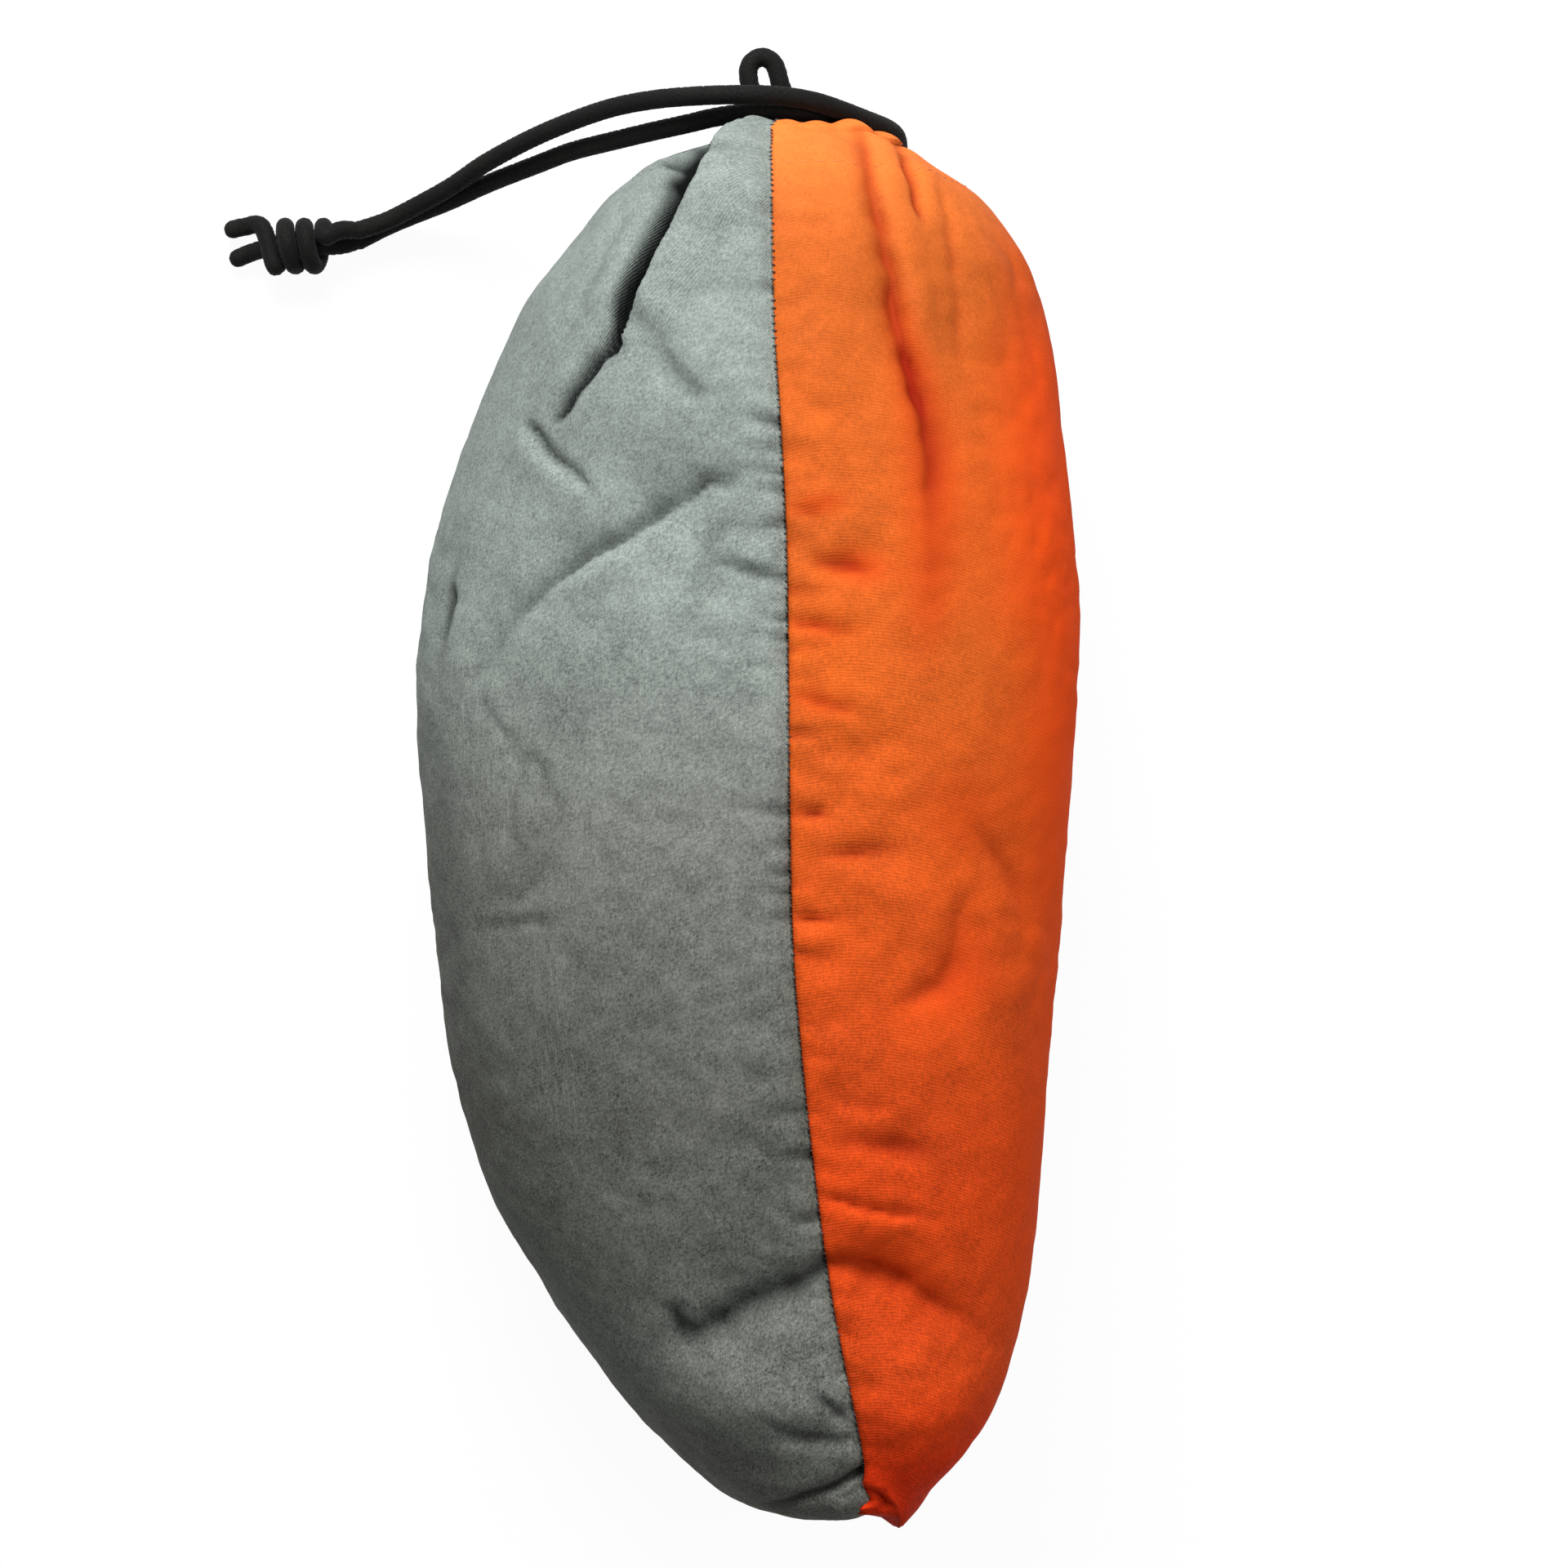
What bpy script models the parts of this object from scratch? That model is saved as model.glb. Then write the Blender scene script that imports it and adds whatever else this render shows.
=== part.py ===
"""A drawcord stuff sack, packed full, cinched and lying on its back seam.

Metres, +Z up. +Y runs from the bottom seam to the mouth and +X to the orange panel's side. The origin is
on the floor under the middle of the sack with its hang loop.
"""

import math

import bmesh
import bpy
import numpy as np
from mathutils import Matrix, Vector

# Sack: sizes of the filled bag as it lies
SACK_LENGTH = 0.2348
SACK_WIDTH = 0.1132
SACK_HEIGHT = 0.0780
FABRIC_THICKNESS = 0.0008

# Neck: the gathered end of the two panels
NECK_RADIUS = 0.0160
NECK_X = 0.0105
NECK_HEIGHT = 0.0340
NECK_SEAM_X = 0.0049
PLEATS_PER_PANEL = 5
PLEAT_DEPTH = 0.0006
PLEAT_LENGTH = 0.0450

# Casing: the hem tunnel round the mouth that the drawcord runs in
CASING_DEPTH = 0.0068
CASING_HEIGHT = 0.0088
LIP_RISE = 0.0015

# Seams: the sewn edges turned inside along the panels
SEAM_WIDTH = 0.0080
SEAM_THICKNESS = 0.0008
BOTTOM_SEAM_DEPTH = 0.0060
SEAM_END_MARGIN = 0.0120

# Contents: the bundle that keeps the sack full
CONTENTS_BOTTOM_GAP = 0.0120
CONTENTS_TOP_GAP = 0.0085
CONTENTS_DOME = 0.0120

# Drawcord and hang loop: round braided cord
CORD_DIAMETER = 0.0033
PULL_TRAVEL = 0.0150
EYELET_CLEARANCE = 0.0004
KNOT_SIZE = 0.0160
LOOP_REACH = 0.01485

# Fit: the gap kept between pieces that touch
SEAT_GAP = 0.0003

# Outline at stations from the bottom seam to the shoulder. Each row holds the share of the length, the left
# edge, right edge and front seam as shares of half the width, then the underside and top as shares of the
# height.
STATION_SHARES = (
    (0.000, 0.105, 0.445, 0.445, 0.100, 0.760),
    (0.007, -0.010, 0.535, 0.430, 0.085, 0.775),
    (0.054, -0.265, 0.695, 0.360, 0.045, 0.820),
    (0.126, -0.515, 0.825, 0.300, -0.010, 0.875),
    (0.221, -0.760, 0.885, 0.235, -0.055, 0.930),
    (0.365, -0.915, 0.930, 0.165, -0.080, 0.980),
    (0.600, -1.000, 1.000, 0.137, -0.085, 1.000),
    (0.745, -0.895, 0.980, 0.125, -0.070, 0.975),
    (0.889, -0.635, 0.900, 0.093, -0.010, 0.890),
    (0.937, -0.465, 0.800, 0.089, 0.045, 0.830),
    (0.961, -0.370, 0.720, 0.087, 0.090, 0.785),
    (0.985, -0.260, 0.570, 0.087, 0.155, 0.710),
)

# Strands: from the eyelets under the orange shoulder, round the mouth, off to the left and down to the floor.
# Each row holds the distance right of the mouth's middle, the distance beyond the mouth, and the height.
EYELET_SETBACK = 0.0077
UPPER_EYELET = (0.0157, 0.0178)
LOWER_EYELET = (0.0115, 0.0150)
UPPER_ROUTE = (
    (0.0157, -0.0027, 0.0178),
    (0.0173, 0.0011, 0.0222),
    (0.0170, 0.0023, 0.0295),
    (0.0112, 0.0033, 0.0380),
    (0.0020, 0.0041, 0.0450),
    (-0.0049, 0.0045, 0.0468),
    (-0.0118, 0.0047, 0.0466),
    (-0.0188, 0.0048, 0.0448),
    (-0.0258, 0.0048, 0.0415),
    (-0.0329, 0.0043, 0.0370),
    (-0.0403, 0.0030, 0.0310),
    (-0.0480, 0.0010, 0.0245),
    (-0.0563, -0.0020, 0.0175),
    (-0.0631, -0.0054, 0.0120),
    (-0.0709, -0.0088, 0.0078),
    (-0.0755, -0.0107, 0.0063),
    (-0.0815, -0.0125, 0.0057),
)
LOWER_ROUTE = (
    (0.0115, -0.0027, 0.0150),
    (0.0131, 0.0015, 0.0180),
    (0.0135, 0.0026, 0.0255),
    (0.0076, 0.0027, 0.0358),
    (-0.0001, 0.0026, 0.0416),
    (-0.0077, 0.0025, 0.0430),
    (-0.0147, 0.0019, 0.0416),
    (-0.0200, 0.0011, 0.0394),
    (-0.0260, 0.0004, 0.0360),
    (-0.0332, -0.0004, 0.0310),
    (-0.0406, -0.0012, 0.0252),
    (-0.0466, -0.0025, 0.0202),
    (-0.0558, -0.0047, 0.0130),
    (-0.0635, -0.0071, 0.0076),
    (-0.0712, -0.0094, 0.0037),
    (-0.0758, -0.0111, 0.0022),
    (-0.0815, -0.0140, 0.0019),
)
KNOT_CENTRE = (-0.0899, -0.0140, 0.0043)
KNOT_RISE = 1.15

# Hang loop: its route from one sewn end to the other, measured from the middle of the mouth
LOOP_HINGE = (-0.0027, -0.0044, 0.0010)
LOOP_ROUTE = (
    (-0.0002, -0.0048, 0.0010),
    (-0.0004, -0.0010, 0.0013),
    (-0.0018, 0.0040, 0.0017),
    (-0.0038, 0.0082, 0.0020),
    (-0.0047, 0.0108, 0.0020),
    (-0.0056, 0.0124, 0.0020),
    (-0.0076, 0.0132, 0.0020),
    (-0.0096, 0.0124, 0.0020),
    (-0.0103, 0.0106, 0.0020),
    (-0.0097, 0.0075, 0.0020),
    (-0.0078, 0.0040, 0.0017),
    (-0.0056, -0.0005, 0.0013),
    (-0.0052, -0.0048, 0.0010),
)

PARTS = "stuff_sack"
CUTTERS = "cutters"
TAU = 2 * math.pi
BOTTOM_Y = (SACK_LENGTH + LIP_RISE + LOOP_REACH) / -2
TOP_Y = BOTTOM_Y + SACK_LENGTH
MOUTH = Vector((NECK_X, TOP_Y + LIP_RISE, NECK_HEIGHT))
EYELET_Y = MOUTH.y - EYELET_SETBACK


def clear_scene():
    for obj in list(bpy.data.objects):
        bpy.data.objects.remove(obj, do_unlink=True)


def collection(name):
    found = bpy.data.collections.new(name)
    bpy.context.scene.collection.children.link(found)
    return found


def finish(name, colour, roughness):
    material = bpy.data.materials.new(name)
    material.use_nodes = True
    shader = material.node_tree.nodes["Principled BSDF"]
    shader.inputs["Base Color"].default_value = (*colour, 1)
    shader.inputs["Roughness"].default_value = roughness
    shader.inputs["Metallic"].default_value = 0
    return material


# Sack surface: one smooth skin through the stations, from which every cloth piece takes its place


def station_table():
    """Rows of y, middle x, half-width squared, seam offset, underside and top, bottom seam to neck."""
    half = SACK_WIDTH / 2
    rows = []
    for share, left, right, seam, low, high in STATION_SHARES:
        middle = half * (left + right) / 2
        offset = half * seam - middle
        width_squared = (half * (right - left) / 2) ** 2 - offset**2 if rows else 0
        rows.append((BOTTOM_Y + share * SACK_LENGTH, middle, width_squared, offset,
                     low * SACK_HEIGHT, high * SACK_HEIGHT))
    offset = NECK_SEAM_X - NECK_X
    rows.append((TOP_Y, NECK_X, NECK_RADIUS**2 - offset**2, offset,
                 NECK_HEIGHT - NECK_RADIUS, NECK_HEIGHT + NECK_RADIUS))
    return np.array(rows)


def smooth(table, y):
    """The table's row at y, on a cubic curve through its rows that doesn't overshoot where they turn."""
    places, values = table[:, 0], table[:, 1:]
    slopes = np.diff(values, axis=0) / np.diff(places)[:, None]
    tangents = np.vstack([slopes[:1], (slopes[1:] + slopes[:-1]) / 2, slopes[-1:]])
    tangents[1:-1][slopes[1:] * slopes[:-1] <= 0] = 0
    i = int(np.clip(np.searchsorted(places, y) - 1, 0, len(places) - 2))
    step = places[i + 1] - places[i]
    s = (y - places[i]) / step
    return ((2 * s**3 - 3 * s**2 + 1) * values[i] + (s**3 - 2 * s**2 + s) * step * tangents[i]
            + (3 * s**2 - 2 * s**3) * values[i + 1] + (s**3 - s**2) * step * tangents[i + 1])


TABLE = station_table()


def gather(angle):
    """The wave of the pleats round the neck, crest at both long seams."""
    return PLEAT_DEPTH * math.cos(2 * PLEATS_PER_PANEL * (angle - math.pi / 2))


def sack_point(y, angle, inset, shift=0.0, draw_in=1.0):
    """A point of the sack's skin, set inwards by inset: front seam at 90 degrees, back seam at 270."""
    middle, width_squared, offset, low, high = smooth(TABLE, y)
    tall = (high - low) / 2
    fold = gather(angle) * max(0.0, 1 - (TOP_Y - y) / PLEAT_LENGTH) ** 2
    across = (max(math.sqrt(max(width_squared, 0)) - inset, 0) + fold) * draw_in
    up = (tall - inset + fold) * draw_in
    x = middle + shift + across * math.cos(angle) + offset / tall * up * math.sin(angle)
    z = (high + low) / 2 + up * math.sin(angle)
    return Vector((x, y + inset * max(0.0, y / BOTTOM_Y), max(z, inset)))


def eased(count, low, high):
    """count places from low to high, closer together at both ends."""
    return [low + (high - low) * (1 - math.cos(math.pi * i / (count - 1))) / 2 for i in range(count)]


# Builders: grids laid over the sack's skin, and tubes along routes


def add_skin(mesh, rows):
    """A grid over rows of points; returns its outer edges."""
    grid = bmesh.ops.create_grid(mesh, x_segments=len(rows[0]) - 1, y_segments=len(rows) - 1, size=1)
    for vertex, point in zip(grid["verts"], [p for row in rows for p in row], strict=True):
        vertex.co = point
    edges = {edge for vertex in grid["verts"] for edge in vertex.link_edges}
    return [edge for edge in edges if edge.is_boundary]


def into_object(name, mesh, material, where):
    bmesh.ops.recalc_face_normals(mesh, faces=mesh.faces)
    data = bpy.data.meshes.new(name)
    mesh.to_mesh(data)
    mesh.free()
    data.shade_smooth()
    data.set_sharp_from_angle(angle=math.radians(40))
    data.materials.append(material)
    obj = bpy.data.objects.new(name, data)
    where.objects.link(obj)
    return obj


def cloth_shell(name, outer, inner, material, where):
    """A piece of cloth between two skins of the same layout, closed round its edge."""
    mesh = bmesh.new()
    edges = add_skin(mesh, outer) + add_skin(mesh, inner)
    bmesh.ops.bridge_loops(mesh, edges=edges)
    return into_object(name, mesh, material, where)


def smooth_route(points, step):
    """Points about step apart on a smooth curve through the route's own points."""
    knots = [Vector(p) for p in points]
    ends = [2 * knots[0] - knots[1], *knots, 2 * knots[-1] - knots[-2]]
    fine = []
    for before, start, end, after in zip(ends, ends[1:], ends[2:], ends[3:], strict=False):
        pieces = max(1, round((end - start).length / step))
        for s in (i / pieces for i in range(pieces)):
            bend = 2 * before - 5 * start + 4 * end - after
            twist = 3 * start - before - 3 * end + after
            fine.append(start + ((end - before) * s + bend * s**2 + twist * s**3) / 2)
    return [*fine, knots[-1]]


def tube(name, points, material, where, parent=None, closed=False):
    """A round cord along points, with filled ends, on its parent's origin."""
    origin = parent.matrix_world.translation if parent else Vector()
    curve = bpy.data.curves.new(name, "CURVE")
    curve.dimensions = "3D"
    curve.bevel_depth = CORD_DIAMETER / 2
    curve.bevel_resolution = 2
    curve.use_fill_caps = not closed
    spline = curve.splines.new("POLY")
    spline.points.add(len(points) - 1)
    for control, point in zip(spline.points, points, strict=True):
        control.co = (*(point - origin), 1)
    spline.use_cyclic_u = closed
    curve.materials.append(material)
    obj = bpy.data.objects.new(name, curve)
    obj.parent = parent
    where.objects.link(obj)
    return obj


def joint_empty(name, place, where):
    """The point that a moving piece is carried by."""
    empty = bpy.data.objects.new(name, None)
    empty.location = place
    empty.matrix_world = Matrix.Translation(place)
    where.objects.link(empty)
    return empty


# Panels: half the sack each, sewn to each other along the front, the back and the bottom

PANEL_COLUMNS = 25
PANEL_ROWS = eased(25, BOTTOM_Y, TOP_Y)
GREY_SIDE = (math.pi / 2, 1.5 * math.pi, -SEAT_GAP / 2)
ORANGE_SIDE = (-math.pi / 2, math.pi / 2, SEAT_GAP / 2)


def panel(name, side, material, where):
    start, end, shift = side
    angles = [start + (end - start) * i / (PANEL_COLUMNS - 1) for i in range(PANEL_COLUMNS)]
    skins = [[[sack_point(y, a, inset, shift) for a in angles] for y in PANEL_ROWS]
             for inset in (0, FABRIC_THICKNESS)]
    return cloth_shell(name, *skins, material, where)


# Casing: each panel's hem folded inwards into a tunnel, gathered on the drawcord

CASING_COLUMNS = 31
CASING_SIDES = 10
CASING_RING = NECK_RADIUS - FABRIC_THICKNESS - SEAT_GAP - CASING_DEPTH / 2 - PLEAT_DEPTH
CASING_Y = MOUTH.y - CASING_HEIGHT / 2


def neck_point(angle, radius, y, shift=0.0):
    lean = (NECK_SEAM_X - NECK_X) / NECK_RADIUS
    return Vector((NECK_X + shift + radius * math.cos(angle) + lean * radius * math.sin(angle), y,
                   NECK_HEIGHT + radius * math.sin(angle)))


def casing(name, side, material, where):
    """Half the tunnel: one skin that runs along the outside and back through the bore."""
    start, end, shift = side
    skins = []
    for wall in (0, FABRIC_THICKNESS):
        rows = []
        for i in range(CASING_COLUMNS):
            angle = start + (end - start) * i / (CASING_COLUMNS - 1)
            ring = []
            for j in range(CASING_SIDES):
                turn = TAU * j / CASING_SIDES
                radius = CASING_RING + gather(angle) + (CASING_DEPTH / 2 - wall) * math.cos(turn)
                y = CASING_Y + (CASING_HEIGHT / 2 - wall) * math.sin(turn)
                ring.append(neck_point(angle, radius, y, shift))
            rows.append([*ring, ring[0]])
        skins.append(rows)
    outside, bore = skins
    mesh = bmesh.new()
    add_skin(mesh, [*outside, *reversed(bore), outside[0]])
    bmesh.ops.remove_doubles(mesh, verts=mesh.verts, dist=1e-6)
    return into_object(name, mesh, material, where)


# Seam allowances: the panels' edges, turned inside and overlocked together

SEAM_COLUMNS = 4
BOTTOM_SEAM_STEPS = 9


def long_seam(name, seam_angle, material, where):
    places = [y for y in PANEL_ROWS if BOTTOM_Y + SEAM_END_MARGIN < y < TOP_Y - SEAM_END_MARGIN]
    skins = []
    for inset in (FABRIC_THICKNESS + SEAT_GAP, FABRIC_THICKNESS + SEAT_GAP + SEAM_THICKNESS):
        rows = []
        for y in places:
            spread = SEAM_WIDTH / 2 / math.sqrt(smooth(TABLE, y)[1])
            rows.append([sack_point(y, seam_angle + spread * (2 * j / (SEAM_COLUMNS - 1) - 1), inset)
                         for j in range(SEAM_COLUMNS)])
        skins.append(rows)
    return cloth_shell(name, *skins, material, where)


def bottom_seam(material, where):
    """The fin of both panels' bottom edges, standing inside the sack's end."""
    low_y = BOTTOM_Y + FABRIC_THICKNESS + SEAT_GAP
    middle, _, offset, low, high = smooth(TABLE, BOTTOM_Y)
    tall = (high - low) / 2
    reach = tall - SEAM_WIDTH
    heights = [reach * (2 * i / (BOTTOM_SEAM_STEPS - 1) - 1) for i in range(BOTTOM_SEAM_STEPS)]
    skins = []
    for side in (-SEAM_THICKNESS / 2, SEAM_THICKNESS / 2):
        skins.append([[Vector((middle + side + offset * h / tall, y, (high + low) / 2 + h)) for h in heights]
                      for y in (low_y, low_y + BOTTOM_SEAM_DEPTH)])
    return cloth_shell("bottom_seam_allowance", *skins, material, where)


# Contents: a bundle of packed cloth with domed ends, a little inside the seams

CONTENTS_COLUMNS = 24


def packed_contents(material, where):
    inset = FABRIC_THICKNESS + SEAM_THICKNESS + 2 * SEAT_GAP
    low, high = BOTTOM_Y + CONTENTS_BOTTOM_GAP, TOP_Y - CONTENTS_TOP_GAP
    mesh = bmesh.new()
    rows = []
    for y in [low, *[y for y in PANEL_ROWS if low < y < high], high]:
        near = min(1.0, (min(y - low, high - y) + CONTENTS_DOME / 8) / CONTENTS_DOME)
        draw_in = math.sqrt(1 - (1 - near) ** 2)
        ring = [sack_point(y, TAU * i / CONTENTS_COLUMNS, inset, 0, draw_in) for i in range(CONTENTS_COLUMNS)]
        rows.append([*ring, ring[0]])
    add_skin(mesh, rows)
    bmesh.ops.remove_doubles(mesh, verts=mesh.verts, dist=1e-6)
    bmesh.ops.holes_fill(mesh, edges=[edge for edge in mesh.edges if edge.is_boundary])
    return into_object("packed_contents", mesh, material, where)


# Drawcord: one cord, inside the casing round the neck and out through two eyelets as two strands

CORD_STEP = 2 * CORD_DIAMETER
NECK_RING_POINTS = 36
NECK_RING_GAP = math.radians(20)
KNOT_POINTS = 40


def beside_mouth(place):
    """A point of the drawcord, placed from the mouth across the floor and by its own height."""
    return Vector((MOUTH.x + place[0], MOUTH.y + place[1], place[2]))


def eyelet_point(eyelet, y):
    return Vector((MOUTH.x + eyelet[0], y, eyelet[1]))


def neck_ring(material, where):
    start, sweep = NECK_RING_GAP - math.pi / 2, TAU - 2 * NECK_RING_GAP
    points = [neck_point(start + sweep * i / (NECK_RING_POINTS - 1), CASING_RING, CASING_Y)
              for i in range(NECK_RING_POINTS)]
    return tube("drawcord_neck_ring", points, material, where)


def strand(name, eyelet, route, material, where, parent):
    """A strand whose straight end waits inside the sack to be drawn out by PULL_TRAVEL."""
    hidden_end = eyelet_point(eyelet, EYELET_Y - PULL_TRAVEL - CORD_DIAMETER)
    shown = smooth_route([eyelet_point(eyelet, EYELET_Y), *map(beside_mouth, route)], CORD_STEP)
    return tube(name, [hidden_end, *shown], material, where, parent)


def strand_channel(name, eyelet, where):
    """The room that a strand's straight end slides in: the eyelet in the panel and a groove in the bundle."""
    inner_end = EYELET_Y - PULL_TRAVEL - 2 * CORD_DIAMETER
    outer_end = EYELET_Y + PULL_TRAVEL
    bpy.ops.mesh.primitive_cylinder_add(vertices=16, radius=CORD_DIAMETER / 2 + EYELET_CLEARANCE,
                                        depth=outer_end - inner_end, rotation=(math.pi / 2, 0, 0),
                                        location=eyelet_point(eyelet, (inner_end + outer_end) / 2))
    cutter = bpy.context.object
    cutter.name = name
    cutter.hide_render = True
    cutter.display_type = "WIRE"
    for owner in cutter.users_collection:
        owner.objects.unlink(cutter)
    where.objects.link(cutter)
    return cutter


def cut(obj, cutter):
    hole = obj.modifiers.new(cutter.name, "BOOLEAN")
    hole.object = cutter
    hole.operation = "DIFFERENCE"


def end_knot(material, where, parent):
    """The overhand knot that joins both strands, as a trefoil of the same cord with one lobe towards them."""
    size = (KNOT_SIZE - CORD_DIAMETER) / 6
    centre = beside_mouth(KNOT_CENTRE)
    points = []
    for i in range(KNOT_POINTS):
        turn = TAU * i / KNOT_POINTS
        across = 2 * math.cos(2 * turn) - math.cos(turn)
        along = 2 * math.sin(2 * turn) + math.sin(turn)
        points.append(centre + size * Vector((across, along, KNOT_RISE * math.sin(3 * turn))))
    return tube("drawcord_end_knot", points, material, where, parent, closed=True)


def hang_loop(material, where, parent):
    """A bight of cord standing out of the mouth."""
    route = smooth_route([MOUTH + Vector(place) for place in LOOP_ROUTE], CORD_STEP)
    return tube("hang_loop", route, material, where, parent)


def main():
    clear_scene()
    parts, cutters = collection(PARTS), collection(CUTTERS)
    grey = finish("grey_cloth", (0.22, 0.245, 0.23), 0.6)
    orange = finish("orange_cloth", (0.72, 0.13, 0.02), 0.55)
    lining = finish("seam_cloth", (0.16, 0.17, 0.16), 0.7)
    bundle = finish("bundle_cloth", (0.30, 0.20, 0.14), 0.8)
    black = finish("black_cord", (0.012, 0.012, 0.011), 0.6)

    panel("grey_panel", GREY_SIDE, grey, parts)
    orange_panel = panel("orange_panel", ORANGE_SIDE, orange, parts)
    casing("grey_casing", GREY_SIDE, grey, parts)
    casing("orange_casing", ORANGE_SIDE, orange, parts)
    long_seam("front_seam_allowance", math.pi / 2, lining, parts)
    long_seam("back_seam_allowance", 1.5 * math.pi, lining, parts)
    bottom_seam(lining, parts)
    contents = packed_contents(bundle, parts)
    for name, eyelet in (("upper_channel", UPPER_EYELET), ("lower_channel", LOWER_EYELET)):
        channel = strand_channel(name, eyelet, cutters)
        cut(orange_panel, channel)
        cut(contents, channel)

    neck_ring(black, parts)
    pull = joint_empty("drawcord_pull", eyelet_point(UPPER_EYELET, EYELET_Y), parts)
    strand("drawcord_upper_strand", UPPER_EYELET, UPPER_ROUTE, black, parts, pull)
    strand("drawcord_lower_strand", LOWER_EYELET, LOWER_ROUTE, black, parts, pull)
    end_knot(black, parts, pull)
    swing = joint_empty("hang_loop_swing", MOUTH + Vector(LOOP_HINGE), parts)
    hang_loop(black, parts, swing)


main()
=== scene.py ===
"""The looks of a drawcord stuff sack, packed full, cinched and lying on its back seam.

Metres, +Z up. +Y runs from the bottom seam to the mouth, with the grey panel on the left and the orange
one on the right. Folds are placed in millimetres, as they lie seen from above.
"""

import math

import bpy
import numpy as np
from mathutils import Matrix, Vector, noise


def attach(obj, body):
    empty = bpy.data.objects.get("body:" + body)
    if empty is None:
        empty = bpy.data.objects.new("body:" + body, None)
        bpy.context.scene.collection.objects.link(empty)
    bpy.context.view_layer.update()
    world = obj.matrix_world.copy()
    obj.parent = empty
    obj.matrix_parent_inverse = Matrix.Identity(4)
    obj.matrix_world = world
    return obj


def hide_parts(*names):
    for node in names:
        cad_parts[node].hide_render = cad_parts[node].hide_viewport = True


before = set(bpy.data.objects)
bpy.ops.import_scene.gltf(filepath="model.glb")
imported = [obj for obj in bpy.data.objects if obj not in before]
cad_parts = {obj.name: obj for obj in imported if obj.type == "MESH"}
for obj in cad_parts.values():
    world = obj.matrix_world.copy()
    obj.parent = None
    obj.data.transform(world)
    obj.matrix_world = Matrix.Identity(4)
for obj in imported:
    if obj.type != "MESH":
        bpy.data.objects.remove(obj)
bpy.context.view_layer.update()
scene = bpy.context.scene

# Grey panel: half the sack, one cut of grey twill with its mouth edge hemmed into a casing for the
# drawcord. It is sewn to the orange panel down the front, along the back and across the bottom, and
# turned right side out.

SACK_LENGTH = 0.2348
SACK_WIDTH = 0.1132
SACK_HEIGHT = 0.0780
BOTTOM_Y = -0.125575
TOP_Y = BOTTOM_Y + SACK_LENGTH
NECK_RADIUS = 0.0160
NECK_CENTRE = (0.0105, 0.0340)
NECK_SEAM_X = 0.0049
NECK_LEAN = (NECK_SEAM_X - NECK_CENTRE[0]) / NECK_RADIUS
CLOTH_THICKNESS = 0.0004
SEAM_GAP = 0.00015
MM = 0.001

# Share of the length from the bottom seam, then left and right edges as shares of half the width
EDGES = (
    (0.0000, 0.106, 0.445),
    (0.0067, -0.009, 0.535),
    (0.0306, -0.150, 0.615),
    (0.0544, -0.263, 0.694),
    (0.0783, -0.353, 0.758),
    (0.1260, -0.514, 0.823),
    (0.1737, -0.638, 0.862),
    (0.2214, -0.761, 0.885),
    (0.2691, -0.836, 0.901),
    (0.3168, -0.885, 0.913),
    (0.4120, -0.936, 0.942),
    (0.5076, -0.975, 0.973),
    (0.6030, -1.000, 1.000),
    (0.6980, -0.949, 0.996),
    (0.7938, -0.823, 0.961),
    (0.8410, -0.733, 0.942),
    (0.8890, -0.634, 0.898),
    (0.9130, -0.553, 0.862),
    (0.9370, -0.466, 0.802),
    (0.9607, -0.373, 0.721),
    (0.9845, -0.261, 0.572),
)
# Share of the length, then the front seam's place as a share of half the width
SEAM_LINE = (
    (0.000, 0.445),
    (0.010, 0.400),
    (0.022, 0.345),
    (0.034, 0.362),
    (0.051, 0.360),
    (0.111, 0.313),
    (0.170, 0.265),
    (0.227, 0.230),
    (0.285, 0.201),
    (0.398, 0.155),
    (0.509, 0.141),
    (0.620, 0.136),
    (0.733, 0.127),
    (0.847, 0.097),
    (0.906, 0.092),
    (1.000, 0.087),
)
# Share of the length, then underside and top as shares of the height
HEIGHTS = (
    (0.000, 0.100, 0.760),
    (0.007, 0.085, 0.775),
    (0.054, 0.045, 0.820),
    (0.126, -0.010, 0.875),
    (0.221, -0.055, 0.930),
    (0.365, -0.080, 0.980),
    (0.600, -0.085, 1.000),
    (0.745, -0.070, 0.975),
    (0.889, -0.010, 0.890),
    (0.937, 0.045, 0.830),
    (0.961, 0.090, 0.785),
    (0.985, 0.155, 0.710),
)


def along(rows, share):
    """The rows' values at each share of the length, on a smooth curve that doesn't overshoot."""
    table = np.array(rows)
    places, values = table[:, 0], table[:, 1:]
    slopes = np.diff(values, axis=0) / np.diff(places)[:, None]
    tangents = np.vstack([slopes[:1], (slopes[1:] + slopes[:-1]) / 2, slopes[-1:]])
    tangents[1:-1][slopes[1:] * slopes[:-1] <= 0] = 0
    share = np.atleast_1d(share)
    i = np.clip(np.searchsorted(places, share) - 1, 0, len(places) - 2)
    step = (places[i + 1] - places[i])[:, None]
    s = (share - places[i])[:, None] / step
    return ((2 * s**3 - 3 * s**2 + 1) * values[i] + (s**3 - 2 * s**2 + s) * step * tangents[i]
            + (3 * s**2 - 2 * s**3) * values[i + 1] + (s**3 - s**2) * step * tangents[i + 1])


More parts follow.
